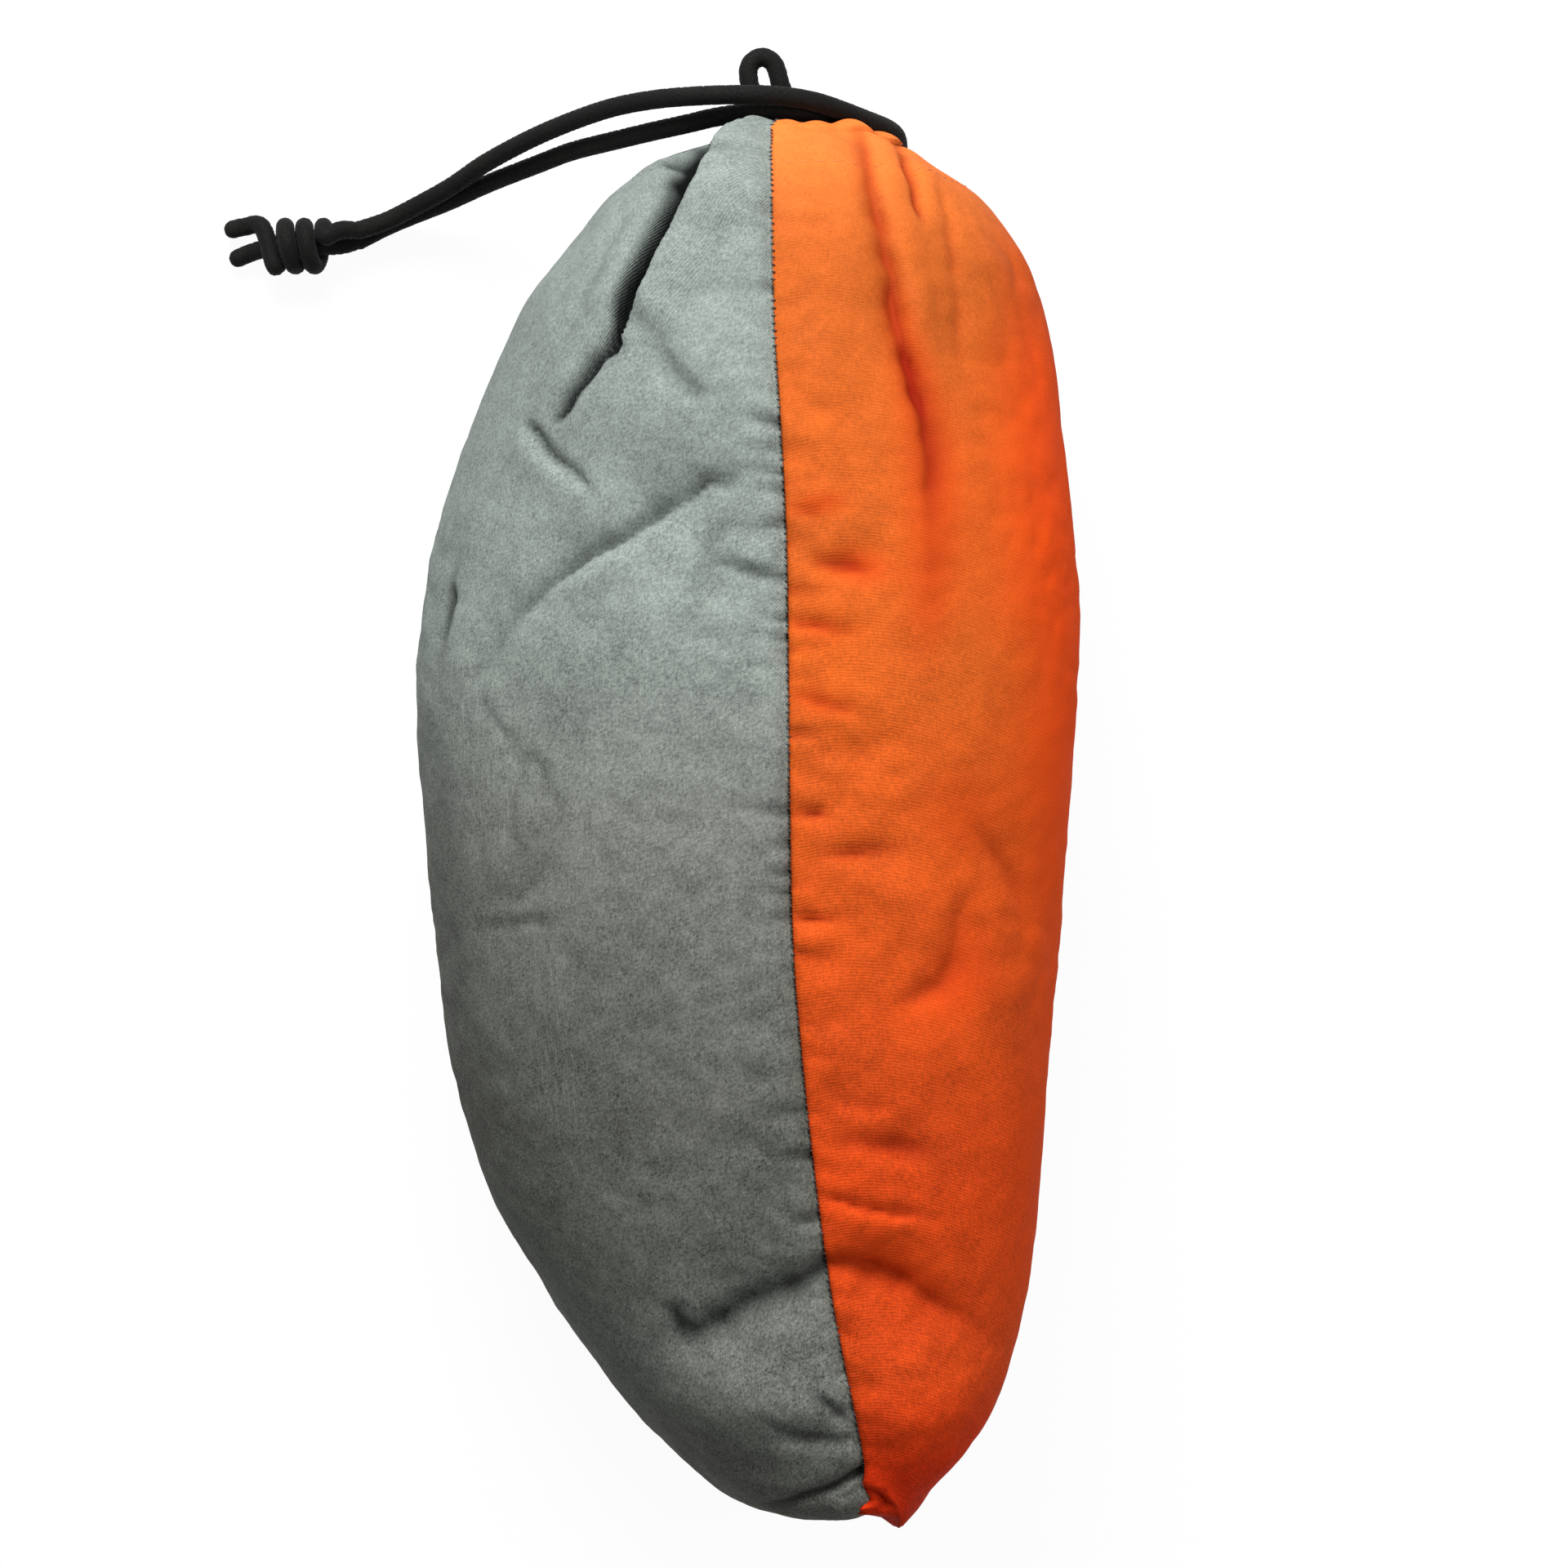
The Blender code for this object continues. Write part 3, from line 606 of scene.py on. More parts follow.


# Each fold's rows, and how it is creased; dark is how much painted shade its valley gets
GREY_FOLDS = (
    (((-17.6, 75.5, 1.6, 0.4), (-19.3, 72.6, 1.6, 3.2), (-21.9, 70.2, 1.6, 3.6), (-25.1, 66.8, 1.6, 3.4),
      (-27.5, 63.2, 1.5, 2.8), (-29.5, 60.2, 1.3, 1.6), (-30.8, 58.3, 1.1, 0.1)),
     dict(left=1.0, right=1.2, lift=0.15, dark=0.9)),
    (((-23.7, 46.5, 0.9, 0.2), (-27.3, 50.4, 1.0, 1.2), (-31.3, 53.2, 1.1, 1.8), (-34.2, 57.3, 1.0, 1.4),
      (-36.3, 59.3, 0.8, 0.2)), dict(right=0.8, lift=0.6, dark=0.6)),
    (((-0.3, 46.7, 1.2, 0.2), (-2.9, 47.9, 1.2, 0.6), (-6.9, 47.6, 1.2, 0.7), (-9.9, 45.6, 1.2, 1.1),
      (-16.1, 41.4, 1.2, 2.2), (-23.2, 36.9, 1.2, 2.8), (-28.8, 33.6, 1.2, 2.0), (-33.6, 29.4, 1.3, 1.0),
      (-38.5, 24.5, 1.4, 0.5), (-41.1, 19.1, 1.5, 0.1)), dict(left=0.75, right=3.2, lift=0.45, dark=0.5)),
    (((-9.4, 44.2, 0.9, 0.2), (-8.4, 45.9, 0.9, 0.7), (-6.3, 48.3, 0.9, 0.9), (-3.9, 48.0, 0.9, 0.8),
      (-1.6, 46.6, 0.8, 0.2)), dict(dark=0.4)),
    (((-0.5, 41.5, 1.8, 0.2), (-3.4, 40.2, 1.8, 0.8), (-5.2, 38.0, 1.8, 1.2), (-6.2, 34.5, 2.0, 1.5),
      (-7.2, 29.5, 2.3, 1.4), (-8.4, 24.0, 2.6, 0.8), (-9.5, 18.0, 2.8, 0.1)), dict(left=2.4, dark=0.12)),
    (((-5.3, 35.5, 0.9, 0.3), (0.1, 33.9, 1.1, 1.3), (6.3, 32.3, 1.0, 1.0)), dict(right=1.3, dark=0.5)),
    (((-9.9, 17.0, 0.7, 0.1), (-2.0, 17.8, 0.7, 0.4), (7.1, 18.5, 0.7, 0.3)), dict(dark=0.4)),
    (((-47.6, 38.5, 0.7, 0.1), (-48.7, 34.0, 0.8, 0.5), (-49.1, 30.5, 0.8, 1.3), (-49.6, 27.0, 0.8, 1.2),
      (-50.5, 22.0, 0.8, 0.4), (-51.2, 15.0, 0.7, 0.1)), dict(right=1.6, dark=0.75)),
    (((-43.6, 13.9, 0.6, 0.1), (-39.9, 8.2, 0.7, 0.5), (-37.5, 6.3, 0.7, 0.5), (-37.9, 3.5, 0.7, 0.4),
      (-33.7, 2.6, 0.7, 0.5), (-31.9, -1.2, 0.6, 0.1)), dict(lift=0.5, dark=0.22)),
    (((-46.8, 14.2, 0.7, 0.1), (-43.2, 18.3, 0.9, 0.5), (-39.0, 23.0, 0.7, 0.1)), dict(lift=0.6, dark=0.15)),
    (((-33.0, -1.5, 0.6, 0.1), (-29.6, -5.0, 0.7, 0.4), (-31.2, -8.6, 0.6, 0.1)), dict(lift=0.5, dark=0.2)),
    (((-35.8, 0.8, 0.6, 0.1), (-38.1, -6.2, 0.7, 0.4), (-37.5, -11.0, 0.6, 0.1)), dict(lift=0.5, dark=0.2)),
    (((-44.9, -25.3, 0.7, 0.1), (-37.0, -23.8, 0.7, 0.6), (-29.4, -23.0, 0.7, 0.1)),
     dict(lift=0.6, dark=0.25)),
    (((-41.5, -22.5, 1.6, 0.1), (-35.5, -18.5, 1.8, 0.8), (-29.4, -13.5, 1.8, 0.1)),
     dict(lift=0.7, dark=0.1)),
    (((-15.7, 77.8, 2.0, 0.3), (-13.9, 73.3, 2.1, 0.9), (-11.6, 67.6, 2.0, 1.2), (-8.1, 63.6, 1.8, 1.0),
      (-5.3, 61.1, 1.6, 0.2)), dict(right=1.3, dark=0.3)),
    (((-17.5, 97.0, 1.5, 0.1), (-21.0, 88.5, 1.5, 0.6), (-26.0, 77.5, 1.6, 0.6), (-31.0, 66.0, 1.6, 0.1)),
     dict(lift=0.4, dark=0.12)),
    (((16.5, -76.8, 1.3, 1.6), (14.3, -78.1, 1.5, 1.9), (8.7, -82.2, 1.8, 2.3), (4.0, -84.2, 2.0, 2.5),
      (-2.3, -87.3, 2.0, 2.5), (-8.3, -91.1, 1.7, 2.0), (-10.2, -89.6, 1.3, 1.2), (-11.9, -87.7, 1.1, 0.3)),
     dict(left=2.4, right=1.3, lift=0.3, dark=0.5)),
    (((-12.5, -95.3, 1.2, 0.2), (-11.2, -91.5, 1.2, 0.9), (-11.8, -87.6, 1.1, 0.8), (-9.1, -86.8, 1.0, 0.2)),
     dict(dark=0.3)),
    (((11.5, -99.9, 1.2, 0.2), (14.1, -101.5, 1.4, 1.2), (16.5, -103.8, 1.4, 1.3), (18.3, -105.8, 1.1, 0.4)),
     dict(lift=0.3, dark=0.45)),
    (((4.6, -104.6, 1.4, 0.2), (8.5, -106.6, 1.7, 1.1), (13.5, -107.8, 1.7, 1.4), (17.9, -107.9, 1.2, 0.7)),
     dict(lift=0.3, dark=0.4)),
    (((3.0, -121.5, 1.3, 0.1), (6.9, -120.1, 1.4, 0.8), (12.3, -117.7, 1.5, 1.6), (17.0, -115.4, 1.5, 2.4),
      (20.6, -114.2, 1.3, 2.6)), dict(right=0.8, dark=0.75)),
    (((-7.9, 99.7, 1.0, 0.1), (-3.9, 100.7, 1.1, 0.6), (0.2, 102.8, 1.1, 0.7), (4.2, 103.9, 1.0, 0.3)),
     dict(dark=0.35)),
    (((-13.8, 103.0, 1.2, 0.5), (-12.6, 103.4, 1.5, 1.6), (-9.4, 104.0, 1.7, 2.0), (-6.2, 104.9, 1.4, 1.2)),
     dict(dark=0.7)),
    (((-12.4, 98.4, 1.2, 0.4), (-10.9, 100.4, 1.6, 1.4), (-8.9, 102.4, 1.7, 1.4), (-6.8, 103.8, 1.4, 0.6)),
     dict(dark=0.8)),
)
# The deep tuck beside the mouth, along the edge of the cloth that laps over it
GREY_TUCKS = (
    ((-1.0, 113.5, 3.6, 3.4), (-2.9, 109.8, 3.6, 3.7), (-4.4, 106.8, 3.6, 4.1), (-7.9, 98.1, 3.3, 8.0),
     (-10.2, 93.4, 2.9, 8.0), (-12.5, 88.8, 2.6, 8.0), (-15.1, 83.3, 2.5, 7.5), (-16.8, 79.9, 2.5, 7.0),
     (-18.1, 76.5, 2.3, 6.0), (-19.0, 73.6, 1.9, 3.5), (-20.2, 71.6, 1.6, 0.5)),
)
# Each bulge's or hollow's place, half width, half length and height
GREY_SWELLS = (
    (1.5, 92.0, 6.0, 13.0, 1.0),
    (-21.0, 90.0, 4.5, 13.0, 0.9),
    (-27.0, 66.0, 8.0, 9.0, 1.2),
    (-14.0, 45.5, 12.0, 9.0, -2.8),
    (-26.0, 45.5, 6.0, 5.0, 0.6),
    (-28.5, 38.5, 4.0, 3.5, -0.8),
    (-23.0, 77.0, 6.0, 8.0, 0.7),
    (-13.6, 99.6, 2.2, 2.6, 0.7),
    (-12.0, 28.0, 12.0, 9.0, 0.6),
    (3.0, -84.0, 16.0, 11.0, -2.0),
    (2.0, -103.0, 15.0, 9.0, 2.2),
)
# Each pinch's place along the seam, reach, depth, width and slant
GREY_PUCKERS = (
    (80.0, 4.0, 0.5, 0.9, -0.1),
    (57.4, 6.0, 1.0, 0.9, 0.2),
    (53.5, 5.0, 0.6, 0.9, 0.0),
    (49.5, 6.0, 1.0, 0.8, 0.1),
    (46.6, 5.0, 0.7, 0.9, 0.1),
    (41.3, 5.0, 0.6, 0.8, -0.1),
    (25.7, 5.0, 0.9, 0.8, 0.1),
    (22.7, 5.0, 0.8, 0.8, 0.1),
    (-5.3, 6.0, 1.0, 0.9, 0.1),
    (-10.6, 5.0, 0.6, 0.9, -0.2),
    (-15.4, 4.0, 0.8, 0.7, 0.1),
    (-18.6, 4.0, 0.7, 0.7, 0.1),
    (-21.8, 4.0, 0.6, 0.8, -0.1),
    (-53.0, 7.0, 0.8, 1.0, -0.1),
    (-60.8, 5.0, 1.1, 0.9, 0.0),
    (-70.6, 6.0, 0.6, 1.0, -0.3),
)
grey_grid, grey_across, grey_along, grey_shade = folded_cloth(
    GREY, GREY_FOLDS, GREY_TUCKS, GREY_SWELLS, GREY_PUCKERS,
    seam_dip=0.9, seam_lap=0.0, hollow_shade=0.15, seed=3.0)


def wear_and_painted_shade(panel, rows):
    """A mark's strength along a line, from 0 to 1, for worn places, dark patches and painted shade. Each row
    is x, y, half width and strength.
    """
    path = smooth_path(rows)
    place = panel[..., :2].reshape(-1, 1, 2) / MM
    nearest = np.argmin(((place - path[:, :2]) ** 2).sum(-1), axis=1)
    distance = np.linalg.norm(place[:, 0] - path[nearest, :2], axis=1)
    return (path[nearest, 3] * bell(distance, path[nearest, 2])).reshape(panel.shape[:2])


GREY_RUBS = (
    ((-47.0, 23.0, 4.0, 0.6), (-45.0, 8.0, 5.0, 1.0), (-43.0, -8.0, 4.0, 0.7)),
    ((-39.0, 18.0, 3.0, 0.4), (-38.0, 2.0, 4.0, 0.8), (-39.0, -12.0, 3.0, 0.5)),
    ((-33.0, -24.0, 4.0, 0.5), (-31.0, -45.0, 4.5, 0.9), (-28.0, -64.0, 3.5, 0.5)),
)
# Patches darkened with the same dark colour as the folds' painted shade, on the left of the grey panel
GREY_DARK_PATCHES = (
    ((-39.0, -9.0, 3.0, 0.05), (-35.0, -10.0, 4.0, 0.26), (-31.0, -9.0, 3.0, 0.12), (-27.0, -9.0, 3.0, 0.0)),
    ((-52.0, 10.0, 3.0, 0.1), (-50.5, -12.0, 3.5, 0.22), (-48.5, -35.0, 3.5, 0.15), (-44.0, -58.0, 4.0, 0.1)),
    ((-30.0, -35.0, 4.0, 0.0), (-31.0, -43.0, 5.0, 0.14), (-30.0, -52.0, 4.0, 0.0)),
)
grey_rubbed = np.clip(sum(wear_and_painted_shade(grey_grid, rows) for rows in GREY_RUBS), 0, 1)
grey_shade = np.clip(grey_shade + sum(wear_and_painted_shade(grey_grid, rows) for rows in GREY_DARK_PATCHES), 0, 1)


def cloth_object(name, panel, across, length, side, wear_and_shade_marks=None, shade=None, cut=None):
    """The panel as a sheet, with a map of its threads and two attributes: one for its worn places and its
    painted red shade, one for its folds' painted shade and dark patches. cut marks the points that holes have
    been punched through."""
    rows, columns = panel.shape[:2]
    index = np.arange(rows * columns).reshape(rows, columns)
    faces = np.stack([index[:-1, :-1], index[1:, :-1], index[1:, 1:], index[:-1, 1:]], -1).reshape(-1, 4)
    if cut is not None:
        faces = faces[~cut.ravel()[faces].any(axis=1)]
    if side == ORANGE:
        faces = faces[:, ::-1]
    mesh = bpy.data.meshes.new(name)
    mesh.from_pydata(panel.reshape(-1, 3).tolist(), [], faces.tolist())
    threads = np.stack([across, length], -1).reshape(-1, 2)
    mesh.uv_layers.new(name="threads").data.foreach_set("uv", threads[faces.ravel()].ravel())
    for attribute, values in (("wear_and_painted_shade", wear_and_shade_marks), ("painted_shade_and_dark_patches", shade)):
        if values is not None:
            mesh.attributes.new(attribute, "FLOAT", "POINT").data.foreach_set("value", values.ravel())
    mesh.shade_smooth()
    obj = bpy.data.objects.new(name, mesh)
    scene.collection.objects.link(obj)
    return obj


def thicken(obj, thickness):
    """Gives a sheet its thickness, inwards from its outer face."""
    wall = obj.modifiers.new("thickness", "SOLIDIFY")
    wall.thickness = thickness
    wall.offset = -1
    settle(obj)


def settle(obj):
    """Turns what an object's modifiers make into its plain mesh."""
    made = bpy.data.meshes.new_from_object(obj.evaluated_get(bpy.context.evaluated_depsgraph_get()))
    obj.modifiers.clear()
    obj.data = made


def plug(tree, socket, value):
    if isinstance(value, bpy.types.NodeSocket):
        tree.links.new(value, socket)
    else:
        socket.default_value = value


def maths(tree, operation, first, second=0.0):
    node = tree.nodes.new("ShaderNodeMath")
    node.operation = operation
    plug(tree, node.inputs[0], first)
    plug(tree, node.inputs[1], second)
    return node.outputs[0]


def blend_colour(tree, factor, first, second):
    node = tree.nodes.new("ShaderNodeMix")
    node.data_type = "RGBA"
    plug(tree, node.inputs["Factor"], factor)
    plug(tree, node.inputs[6], first)
    plug(tree, node.inputs[7], second)
    return node.outputs[2]


def stretched(tree, vector, scale):
    node = tree.nodes.new("ShaderNodeMapping")
    plug(tree, node.inputs["Vector"], vector)
    node.inputs["Scale"].default_value = scale
    return node.outputs["Vector"]


def cloudy(tree, vector, scale, detail=2.0):
    node = tree.nodes.new("ShaderNodeTexNoise")
    plug(tree, node.inputs["Vector"], vector)
    node.inputs["Scale"].default_value = scale
    node.inputs["Detail"].default_value = detail
    return node.outputs["Fac"]


# What most of a noise lies between
NOISE_RANGE = (0.3, 0.7)


def ranged(tree, value, low, high, to_low=0.0, to_high=1.0):
    node = tree.nodes.new("ShaderNodeMapRange")
    plug(tree, node.inputs["Value"], value)
    node.inputs["From Min"].default_value = low
    node.inputs["From Max"].default_value = high
    node.inputs["To Min"].default_value = to_low
    node.inputs["To Max"].default_value = to_high
    return node.outputs["Result"]


def painted(tree, attribute):
    node = tree.nodes.new("ShaderNodeAttribute")
    node.attribute_name = attribute
    return node.outputs["Fac"]


def spot(tree):
    return tree.nodes.new("ShaderNodeTexCoord").outputs["Object"]


def axes(tree, vector):
    node = tree.nodes.new("ShaderNodeSeparateXYZ")
    tree.links.new(vector, node.inputs[0])
    return node.outputs


def raised(tree, shader, height, strength, distance):
    bump = tree.nodes.new("ShaderNodeBump")
    bump.inputs["Strength"].default_value = strength
    bump.inputs["Distance"].default_value = distance
    tree.links.new(height, bump.inputs["Height"])
    tree.links.new(bump.outputs["Normal"], shader.inputs["Normal"])


def blank_material(name):
    material = bpy.data.materials.new(name)
    material.use_nodes = True
    return material, material.node_tree, material.node_tree.nodes["Principled BSDF"]


def rgba(red, green, blue):
    """A colour as it is seen, in 0 to 255, as the light it stands for."""
    seen = np.array([red, green, blue]) / 255
    linear = np.where(seen <= 0.04045, seen / 12.92, ((seen + 0.055) / 1.055) ** 2.4)
    return (*linear.tolist(), 1.0)


# How much of its texture the cloth shows at the bottom and at the mouth: painted less toward the mouth, where
# bright light washes it out
TEXTURE_UNDER_LIGHT = (1.55, 0.75)
# Sizes of the weave's parts, as waves of noise in each metre across and along the threads, or every way
YARN = (900, 3200, 1)
PICK = (3600, 700, 1)
WARP_SCUFF = (2600, 160, 1)
WEFT_SCUFF = (160, 2600, 1)
RIB_WANDER = 420.0
FIBRES = 2300.0
DIRT = 330.0
PUFFS = 240.0
CLOUDS = 60.0
# How far the ribs sway, how much of the light the clouds take or give, the cloth's tone between them, and the
# heights of its ribs, yarn and puffs
RIB_SWAY = 7.0
CLOUDING = 0.10
BASE_TONE = 0.96
RIB_RELIEF = 3.5
YARN_RELIEF = 0.7
PUFF_RELIEF = 1.6


def woven(name, colours, wear_and_shade_colour, painted_shade_colour, diagonal, pitch, ribbed, flecks, grain, grime, scuffed):
    """Woven cloth: threads that show as fine ribs, flecked yarn, another colour laid by an attribute, for
    worn places on the grey and a painted redder shade on the orange, and a dark painted shade in its folds
    and hollows.
    colours are shares of the length from the bottom seam and its colours there, which paint in how the light
    falls off along it, and diagonal is how far its ribs lean from straight across. ribbed, flecks, grain and
    grime are how much of the light its ribs, yarn, fibres and dirt take or give. Scuffed cloth is worn in
    streaks along its threads."""
    material, tree, shader = blank_material(name)
    uv_map = tree.nodes.new("ShaderNodeUVMap")
    uv_map.uv_map = "threads"
    threads = uv_map.outputs["UV"]
    place = spot(tree)
    across, length, _ = axes(tree, threads)
    lean = maths(tree, "MULTIPLY", across, diagonal)
    course = maths(tree, "MULTIPLY", maths(tree, "ADD", length, lean), 2 * math.pi / pitch)
    wander = maths(tree, "MULTIPLY", cloudy(tree, threads, RIB_WANDER, 1.0), RIB_SWAY)
    rib = maths(tree, "SINE", maths(tree, "ADD", course, wander))
    yarn = cloudy(tree, stretched(tree, threads, YARN), 1.0)
    pick = cloudy(tree, stretched(tree, threads, PICK), 1.0)
    clouds = cloudy(tree, place, CLOUDS, 4.0)

    _, y, _ = axes(tree, place)
    # The cloth's colour along its length, with the light's fall-off from the mouth to the bottom painted in
    drift = tree.nodes.new("ShaderNodeValToRGB")
    stops = drift.color_ramp.elements
    for share, colour in colours[1:-1]:
        stops.new(share).color = colour
    stops[0].color = colours[0][1]
    stops[-1].color = colours[-1][1]
    tree.links.new(ranged(tree, y, BOTTOM_Y, TOP_Y), drift.inputs["Fac"])
    texture = ranged(tree, rib, -1, 1, -ribbed, ribbed)
    for layer, amount in ((yarn, flecks), (pick, flecks), (cloudy(tree, place, FIBRES), grain),
                          (cloudy(tree, place, DIRT, 3.0), grime), (clouds, CLOUDING)):
        texture = maths(tree, "ADD", texture, ranged(tree, layer, *NOISE_RANGE, -amount, amount))
    texture_under_light = ranged(tree, y, BOTTOM_Y, TOP_Y, *TEXTURE_UNDER_LIGHT)
    shade = maths(tree, "ADD", maths(tree, "MULTIPLY", texture, texture_under_light), BASE_TONE)
    toned = tree.nodes.new("ShaderNodeVectorMath")
    toned.operation = "SCALE"
    tree.links.new(drift.outputs["Color"], toned.inputs[0])
    tree.links.new(shade, toned.inputs["Scale"])

    # Worn places on the grey cloth; on the orange this attribute holds a painted redder shade
    wear_and_shade = painted(tree, "wear_and_painted_shade")
    if scuffed:
        warp = cloudy(tree, stretched(tree, threads, WARP_SCUFF), 1.0, 3.0)
        weft = cloudy(tree, stretched(tree, threads, WEFT_SCUFF), 1.0, 3.0)
        streaks = maths(tree, "MAXIMUM", warp, maths(tree, "MULTIPLY", weft, 0.85))
        wear_and_shade = maths(tree, "MULTIPLY", wear_and_shade, ranged(tree, streaks, 0.5, 0.8, 0, 0.55))
    worn_and_shaded = blend_colour(tree, wear_and_shade, toned.outputs[0], wear_and_shade_colour)
    # Painted shade: the folds, pinches and hollows take the dark colour, as do the dark patches on the grey
    painted_shade_and_dark_patches = blend_colour(tree, painted(tree, "painted_shade_and_dark_patches"), worn_and_shaded, painted_shade_colour)
    tree.links.new(painted_shade_and_dark_patches, shader.inputs["Base Color"])
    tree.links.new(ranged(tree, clouds, *NOISE_RANGE, 0.72, 0.88), shader.inputs["Roughness"])
    shader.inputs["Specular IOR Level"].default_value = 0.1
    relief = maths(tree, "MULTIPLY", rib, RIB_RELIEF * ribbed)
    for layer, amount in ((yarn, YARN_RELIEF), (cloudy(tree, place, PUFFS, 3.0), PUFF_RELIEF)):
        relief = maths(tree, "ADD", relief, maths(tree, "MULTIPLY", layer, amount))
    raised(tree, shader, relief, 0.45, 0.00014)
    return material


# Colours along the length that paint in the light: broadly lighter and cooler toward the lit mouth, darker
# and more olive toward the bottom, which turns from the lamp
GREY_COLOURS = (
    (0.00, rgba(106, 107, 100)),
    (0.12, rgba(127, 131, 124)),
    (0.30, rgba(106, 108, 101)),
    (0.50, rgba(129, 132, 126)),
    (0.65, rgba(145, 154, 148)),
    (1.00, rgba(135, 144, 139)),
)
grey_twill = woven(
    "grey_twill", GREY_COLOURS, rgba(186, 190, 182), rgba(18, 21, 20),
    diagonal=0.9, pitch=0.00055, ribbed=0.10, flecks=0.16, grain=0.25, grime=0.11, scuffed=True)
grey_panel = cloth_object("grey_panel_cloth", grey_grid, grey_across, grey_along, GREY,
                          grey_rubbed, grey_shade)
grey_panel.data.materials.append(grey_twill)
thicken(grey_panel, CLOTH_THICKNESS)
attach(grey_panel, "sack")
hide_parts("grey_panel", "grey_casing")

# Orange panel: the other half, the same cut in a finer ribbed cloth, sewn along the same three edges.
# Two worked eyelets on the underside of its shoulder let the drawcord out of the casing.

ORANGE_FOLDS = (
    (((20.2, 109.5, 1.2, 0.4), (20.9, 104.5, 1.2, 1.3), (21.8, 98.5, 1.2, 1.9), (23.9, 89.6, 1.2, 2.4),
      (25.2, 82.3, 1.2, 2.6), (26.4, 75.0, 1.2, 2.6), (27.6, 68.3, 1.2, 2.2), (28.7, 63.0, 1.2, 1.4),
      (29.9, 57.5, 1.2, 0.2)), dict(left=0.8, right=2.6, lift=0.35, dark=0.5)),
    (((27.2, 70.5, 1.8, 0.2), (28.9, 63.5, 2.0, 1.2), (30.0, 57.5, 2.2, 1.5), (30.8, 51.7, 2.4, 1.2),
      (30.6, 45.0, 2.4, 0.6), (31.2, 32.5, 2.4, 0.3), (30.2, 23.3, 2.4, 0.1)),
     dict(left=1.8, right=0.8, dark=0.45)),
    (((26.1, 110.5, 0.9, 0.6), (26.8, 108.0, 0.9, 1.2), (27.9, 100.9, 1.0, 1.8), (29.0, 95.4, 0.9, 1.2),
      (29.6, 91.5, 0.8, 0.1)), dict(lift=0.3, dark=0.65)),
    (((33.0, 99.9, 1.3, 0.3), (33.9, 96.1, 1.5, 0.7), (35.2, 85.6, 1.7, 0.8), (35.7, 73.9, 1.9, 0.5),
      (36.0, 64.5, 2.0, 0.1)), dict(lift=0.2, dark=0.15)),
    (((45.0, 92.0, 2.0, 0.2), (47.2, 78.4, 2.2, 0.5), (47.8, 65.3, 2.4, 0.1)), dict(dark=0.1)),
    (((12.4, 42.8, 0.8, 0.4), (10.6, 43.0, 0.8, 0.9), (8.6, 43.2, 0.7, 0.7)), dict(lift=0.4, dark=0.4)),
    (((21.5, 33.8, 1.4, 0.1), (17.0, 34.3, 1.5, 1.1), (12.5, 34.8, 1.3, 0.6)), dict(lift=0.4, dark=0.35)),
    (((18.5, 23.8, 0.9, 0.1), (14.0, 24.3, 1.0, 0.9), (9.5, 24.8, 0.9, 0.7)), dict(lift=0.4, dark=0.35)),
    (((18.5, 10.6, 1.0, 0.1), (14.0, 12.0, 1.1, 0.9), (9.5, 13.4, 0.9, 0.6)), dict(lift=0.4, dark=0.3)),
    (((14.6, -5.9, 0.8, 0.1), (12.0, -5.6, 0.8, 1.0), (9.0, -5.2, 0.8, 0.9)), dict(lift=0.4, dark=0.45)),
    (((25.5, -11.2, 1.3, 0.1), (19.5, -11.8, 1.5, 1.3), (13.0, -12.3, 1.2, 0.6)), dict(lift=0.5, dark=0.4)),
    (((17.0, -23.0, 0.8, 0.1), (13.0, -22.5, 0.9, 1.1), (9.5, -22.0, 0.9, 0.9)), dict(lift=0.4, dark=0.45)),
    (((36.0, -7.4, 2.5, 0.1), (40.0, -10.5, 2.4, 0.7), (43.1, -14.0, 2.2, 1.0), (45.6, -18.7, 2.2, 0.7),
      (46.0, -24.0, 2.2, 0.1)), dict(dark=0.2)),
    (((36.5, -19.5, 2.2, 0.2), (35.4, -23.3, 2.4, 0.8), (34.1, -30.1, 2.6, 1.3), (31.1, -34.4, 2.6, 1.3),
      (24.0, -36.5, 2.6, 0.4)), dict(lift=0.7, dark=0.15)),
    (((26.5, -53.3, 1.5, 0.1), (21.0, -52.6, 1.8, 0.8), (15.5, -52.2, 1.5, 0.4)), dict(lift=0.4, dark=0.25)),
    (((33.0, -60.7, 2.2, 0.1), (25.0, -59.5, 2.8, 1.3), (17.0, -58.4, 2.0, 0.8)), dict(lift=0.4, dark=0.4)),
    (((33.6, -71.6, 0.8, 0.1), (25.7, -70.4, 0.8, 0.9), (18.8, -68.7, 0.8, 1.0), (13.0, -67.4, 0.7, 0.6)),
     dict(lift=0.5, dark=0.4)),
    (((41.4, -92.6, 1.6, 0.2), (37.8, -89.1, 1.8, 1.2), (32.1, -85.5, 1.7, 2.0), (25.7, -81.1, 1.5, 2.2),
      (19.5, -78.9, 1.4, 2.2), (14.1, -78.6, 1.3, 1.8), (12.0, -78.5, 1.2, 1.7)),
     dict(left=3.0, right=1.3, lift=0.3, dark=0.2)),
    (((20.9, -118.0, 1.0, 1.0), (22.8, -119.8, 1.1, 1.4), (24.9, -121.6, 1.0, 1.3), (26.0, -123.3, 0.9, 0.6)),
     dict(left=0.7, lift=0.5, dark=0.45)),
)
